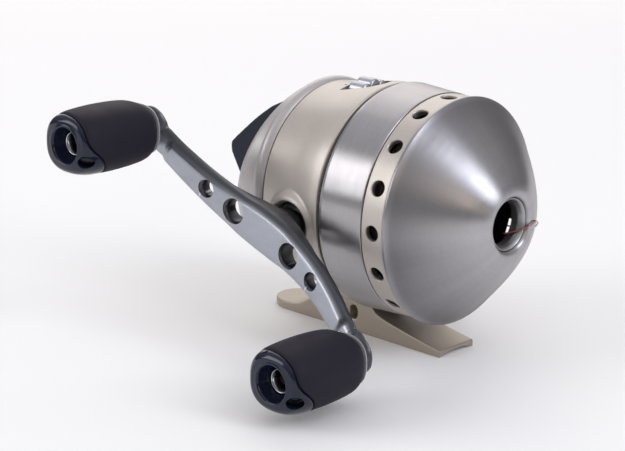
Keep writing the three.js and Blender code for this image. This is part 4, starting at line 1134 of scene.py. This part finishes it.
def screws(metal):
    for word, x in (("rear", -33), ("front", -23)):
        slotted_screw(f"seat_screw_{word}", f"foot_screw_{word}", metal,
                      (-35.4, -26.2, -24.6), (2.7, 1.2), "z", (x, 0, 0))
    for i, place in enumerate(DECK_SCREWS, 1):
        slotted_screw(f"plate_screw_{i}", f"deck_screw_{i}", metal,
                      (-21.5, -13.5, -12.2), (2.4, 1), centre=place)
    for word, side in SIDES:
        slotted_screw(f"frame_screw_{word}", f"bracket_screw_{word}", metal,
                      (-30.4, -35.9, -37.3), (2.3, 1), centre=bracket_screw_place(side))
        slotted_screw(f"back_screw_{word}", f"rear_cover_screw_{word}", metal,
                      (-34.4, -53.3, -54.6), (2.4, 1), centre=cover_screw_place(side))


def deck_plate(zinc):
    """The casting behind the spool, with its holes and three windows."""
    cuts = [rod(1.6, -17, -12, "x", place) for place in DECK_SCREWS]
    cuts += [rod(4.5, -17, -12, "x", (0, *polar(degrees, 17))) for degrees in (105, 225, 345)]
    cuts.append(rod(2.3, -17, -12, "x", DIAL))
    machined("deck_casting", [(-17.4, 4.3), (-17.4, 6.2), (-15.8, 6.2), (-15.8, 27.8), (-13.8, 27.8),
                              (-13.8, 5), (-2.4, 5), (-2.4, 4.2), (-1.2, 4.2), (-1.2, 5), (-0.4, 5),
                              (-0.4, 1.9), (-11, 1.9), (-11, 4.3)],
             "body", "deck_plate", zinc, cuts=[merged(cuts)], segments=200)


def bearing_bracket(zinc):
    """The plate at the back, cut round the foot, crank, shaft and screws."""
    bracket = rod(24, -35.6, -34.2, "x", segments=200, name="rear_bracket")
    combine(bracket, [block((-35.6, -4.5, 20), (-34.2, 4.5, 25.6))], "UNION")
    low, high = -37, -33
    tools = [block((low, -9.2, -15), (high, -3.2, 5.2)), block((low, -25, -26), (high, 25, -17)),
             rod(1.8, low, high, "x"), rod(2.3, low, high, "x", DIAL),
             rod(8.4, -28, -15, "y", CRANK), rod(7, 20, 28, "y", CRANK)]
    tools += [rod(radius, low, high, "x", (0, y, z))
              for y, z, radius in ((11, -14, 5), (12, 12.5, 5.5), (-12, 12.5, 5.5))]
    for _, side in SIDES:
        tools += [rod(1.5, low, high, "x", bracket_screw_place(side)),
                  rod(1.3, low, high, "x", cover_screw_place(side))]
    combine(bracket, tools)
    finish_piece(bevelled(bracket, 0.1), "body", "bearing_bracket", zinc)


# ---- stage ---------------------------------------------------------------
def add_light(name, place, size, power, colour):
    """An area light of (width, height) metres and power in watts, aimed at the reel."""
    aim = Vector((0, 0, 0.035))
    data = bpy.data.lights.new(name, "AREA")
    data.shape, data.energy, data.color = "RECTANGLE", power, colour
    data.size, data.size_y = size
    lamp = bpy.data.objects.new(name, data)
    lamp.location = place
    lamp.rotation_euler = (aim - Vector(place)).to_track_quat("-Z", "Y").to_euler()
    scene.collection.objects.link(lamp)


def add_lights():
    add_light("key", (-0.54, -0.70, 0.39), (0.56, 0.50), 3.3, (1, 0.99, 1))
    add_light("back", (-0.66, 0.66, 0.60), (1.0, 1.0), 4.2, (1, 0.945, 0.905))
    add_light("front", (0.82, 0.14, 0.49), (0.32, 0.34), 2.0, (0.86, 0.89, 1))
    add_light("front_top", (0.62, 0.08, 0.74), (0.36, 0.36), 1.2, (0.88, 0.91, 1))
    add_light("warm", (0.78, -0.33, 0.42), (0.13, 0.34), 0.55, (1, 0.80, 0.64))


def add_world():
    """Soft white surroundings, dim at the horizon and bright overhead."""
    horizon, overhead, dim, bright = 0.12, 0.85, 0.15, 0.69
    world = bpy.data.worlds.new("studio")
    world.use_nodes = True
    nodes, links = world.node_tree.nodes, world.node_tree.links
    direction = nodes.new("ShaderNodeTexCoord")
    split = nodes.new("ShaderNodeSeparateXYZ")
    ramp = nodes.new("ShaderNodeMapRange")
    links.new(direction.outputs["Generated"], split.inputs[0])
    links.new(split.outputs[2], ramp.inputs[0])
    for socket, value in zip(list(ramp.inputs)[1:5], (horizon, overhead, dim, bright)):
        socket.default_value = value
    background = nodes["Background"]
    background.inputs[0].default_value = (0.97, 0.97, 1, 1)
    links.new(ramp.outputs[0], background.inputs[1])
    scene.world = world
    scene.view_settings.view_transform = "Standard"


def add_floor():
    bpy.ops.mesh.primitive_grid_add(x_subdivisions=8, y_subdivisions=8, size=6)
    floor = bpy.context.object
    floor.name = "floor"
    s = Surface("pale_floor", (0.96, 0.96, 0.96), 0.0, 0.85)
    floor.data.materials.append(s.finished(Base_Color=s.shade(s.noise(0.2, 3), 0.01)))


def main():
    add_camera()
    fishing_line()
    gold = gold_paint()
    steel = brushed_steel()
    chrome = plain_metal("chrome", (0.70, 0.71, 0.73), 0.17)
    polished = plain_metal("polished_steel", (0.56, 0.56, 0.57), 0.26)
    brass = plain_metal("brass", (0.58, 0.41, 0.17), 0.34)
    zinc = plain_metal("cast_zinc", (0.42, 0.43, 0.44), 0.5, amount=0.16, depth=0.02)
    screw = plain_metal("zinc_screw", (0.50, 0.51, 0.52), 0.38)
    dark = plain_metal("dark_steel", (0.09, 0.09, 0.095), 0.42)
    body_housing(gold)
    # A greyer, cooler copy of the gold paint for the rear cover.
    rear_cover(gold_paint("gold_paint_greyer", (0.49, 0.465, 0.465)))
    front_cover(steel)
    vent_band(gold)
    line_guide_ring(plain_metal("ring_steel", (0.42, 0.42, 0.43), 0.36))
    seal_ring(black_rubber())
    # A darker, browner copy of the gold paint for the foot: browner in tone, and darker as painted shade
    # under the body.
    reel_foot(gold_paint("gold_paint_foot_shaded", (0.36, 0.31, 0.255)))
    handle_arm(cast_aluminium())
    knobs(soft_black(), smoke_plastic(), rivet_chrome())
    thumb_button(button_black())
    drag_dial(plain_metal("dial_chrome", (0.47, 0.485, 0.53), 0.4))
    crank_works(polished, dark, brass, chrome)
    # Near-black rough steel for the spinner head and nut: painted shade for the inside of the nose.
    shaft_works(polished, brass, plain_metal("spinner_steel_shaded", (0.13, 0.13, 0.135), 0.45))
    line_spool(black_plastic())
    line_coil(wound_line())
    drag_works(polished, felt())
    deck_plate(zinc)
    bearing_bracket(zinc)
    screws(screw)
    return_spring(polished)
    add_world()
    add_floor()
    add_lights()


main()
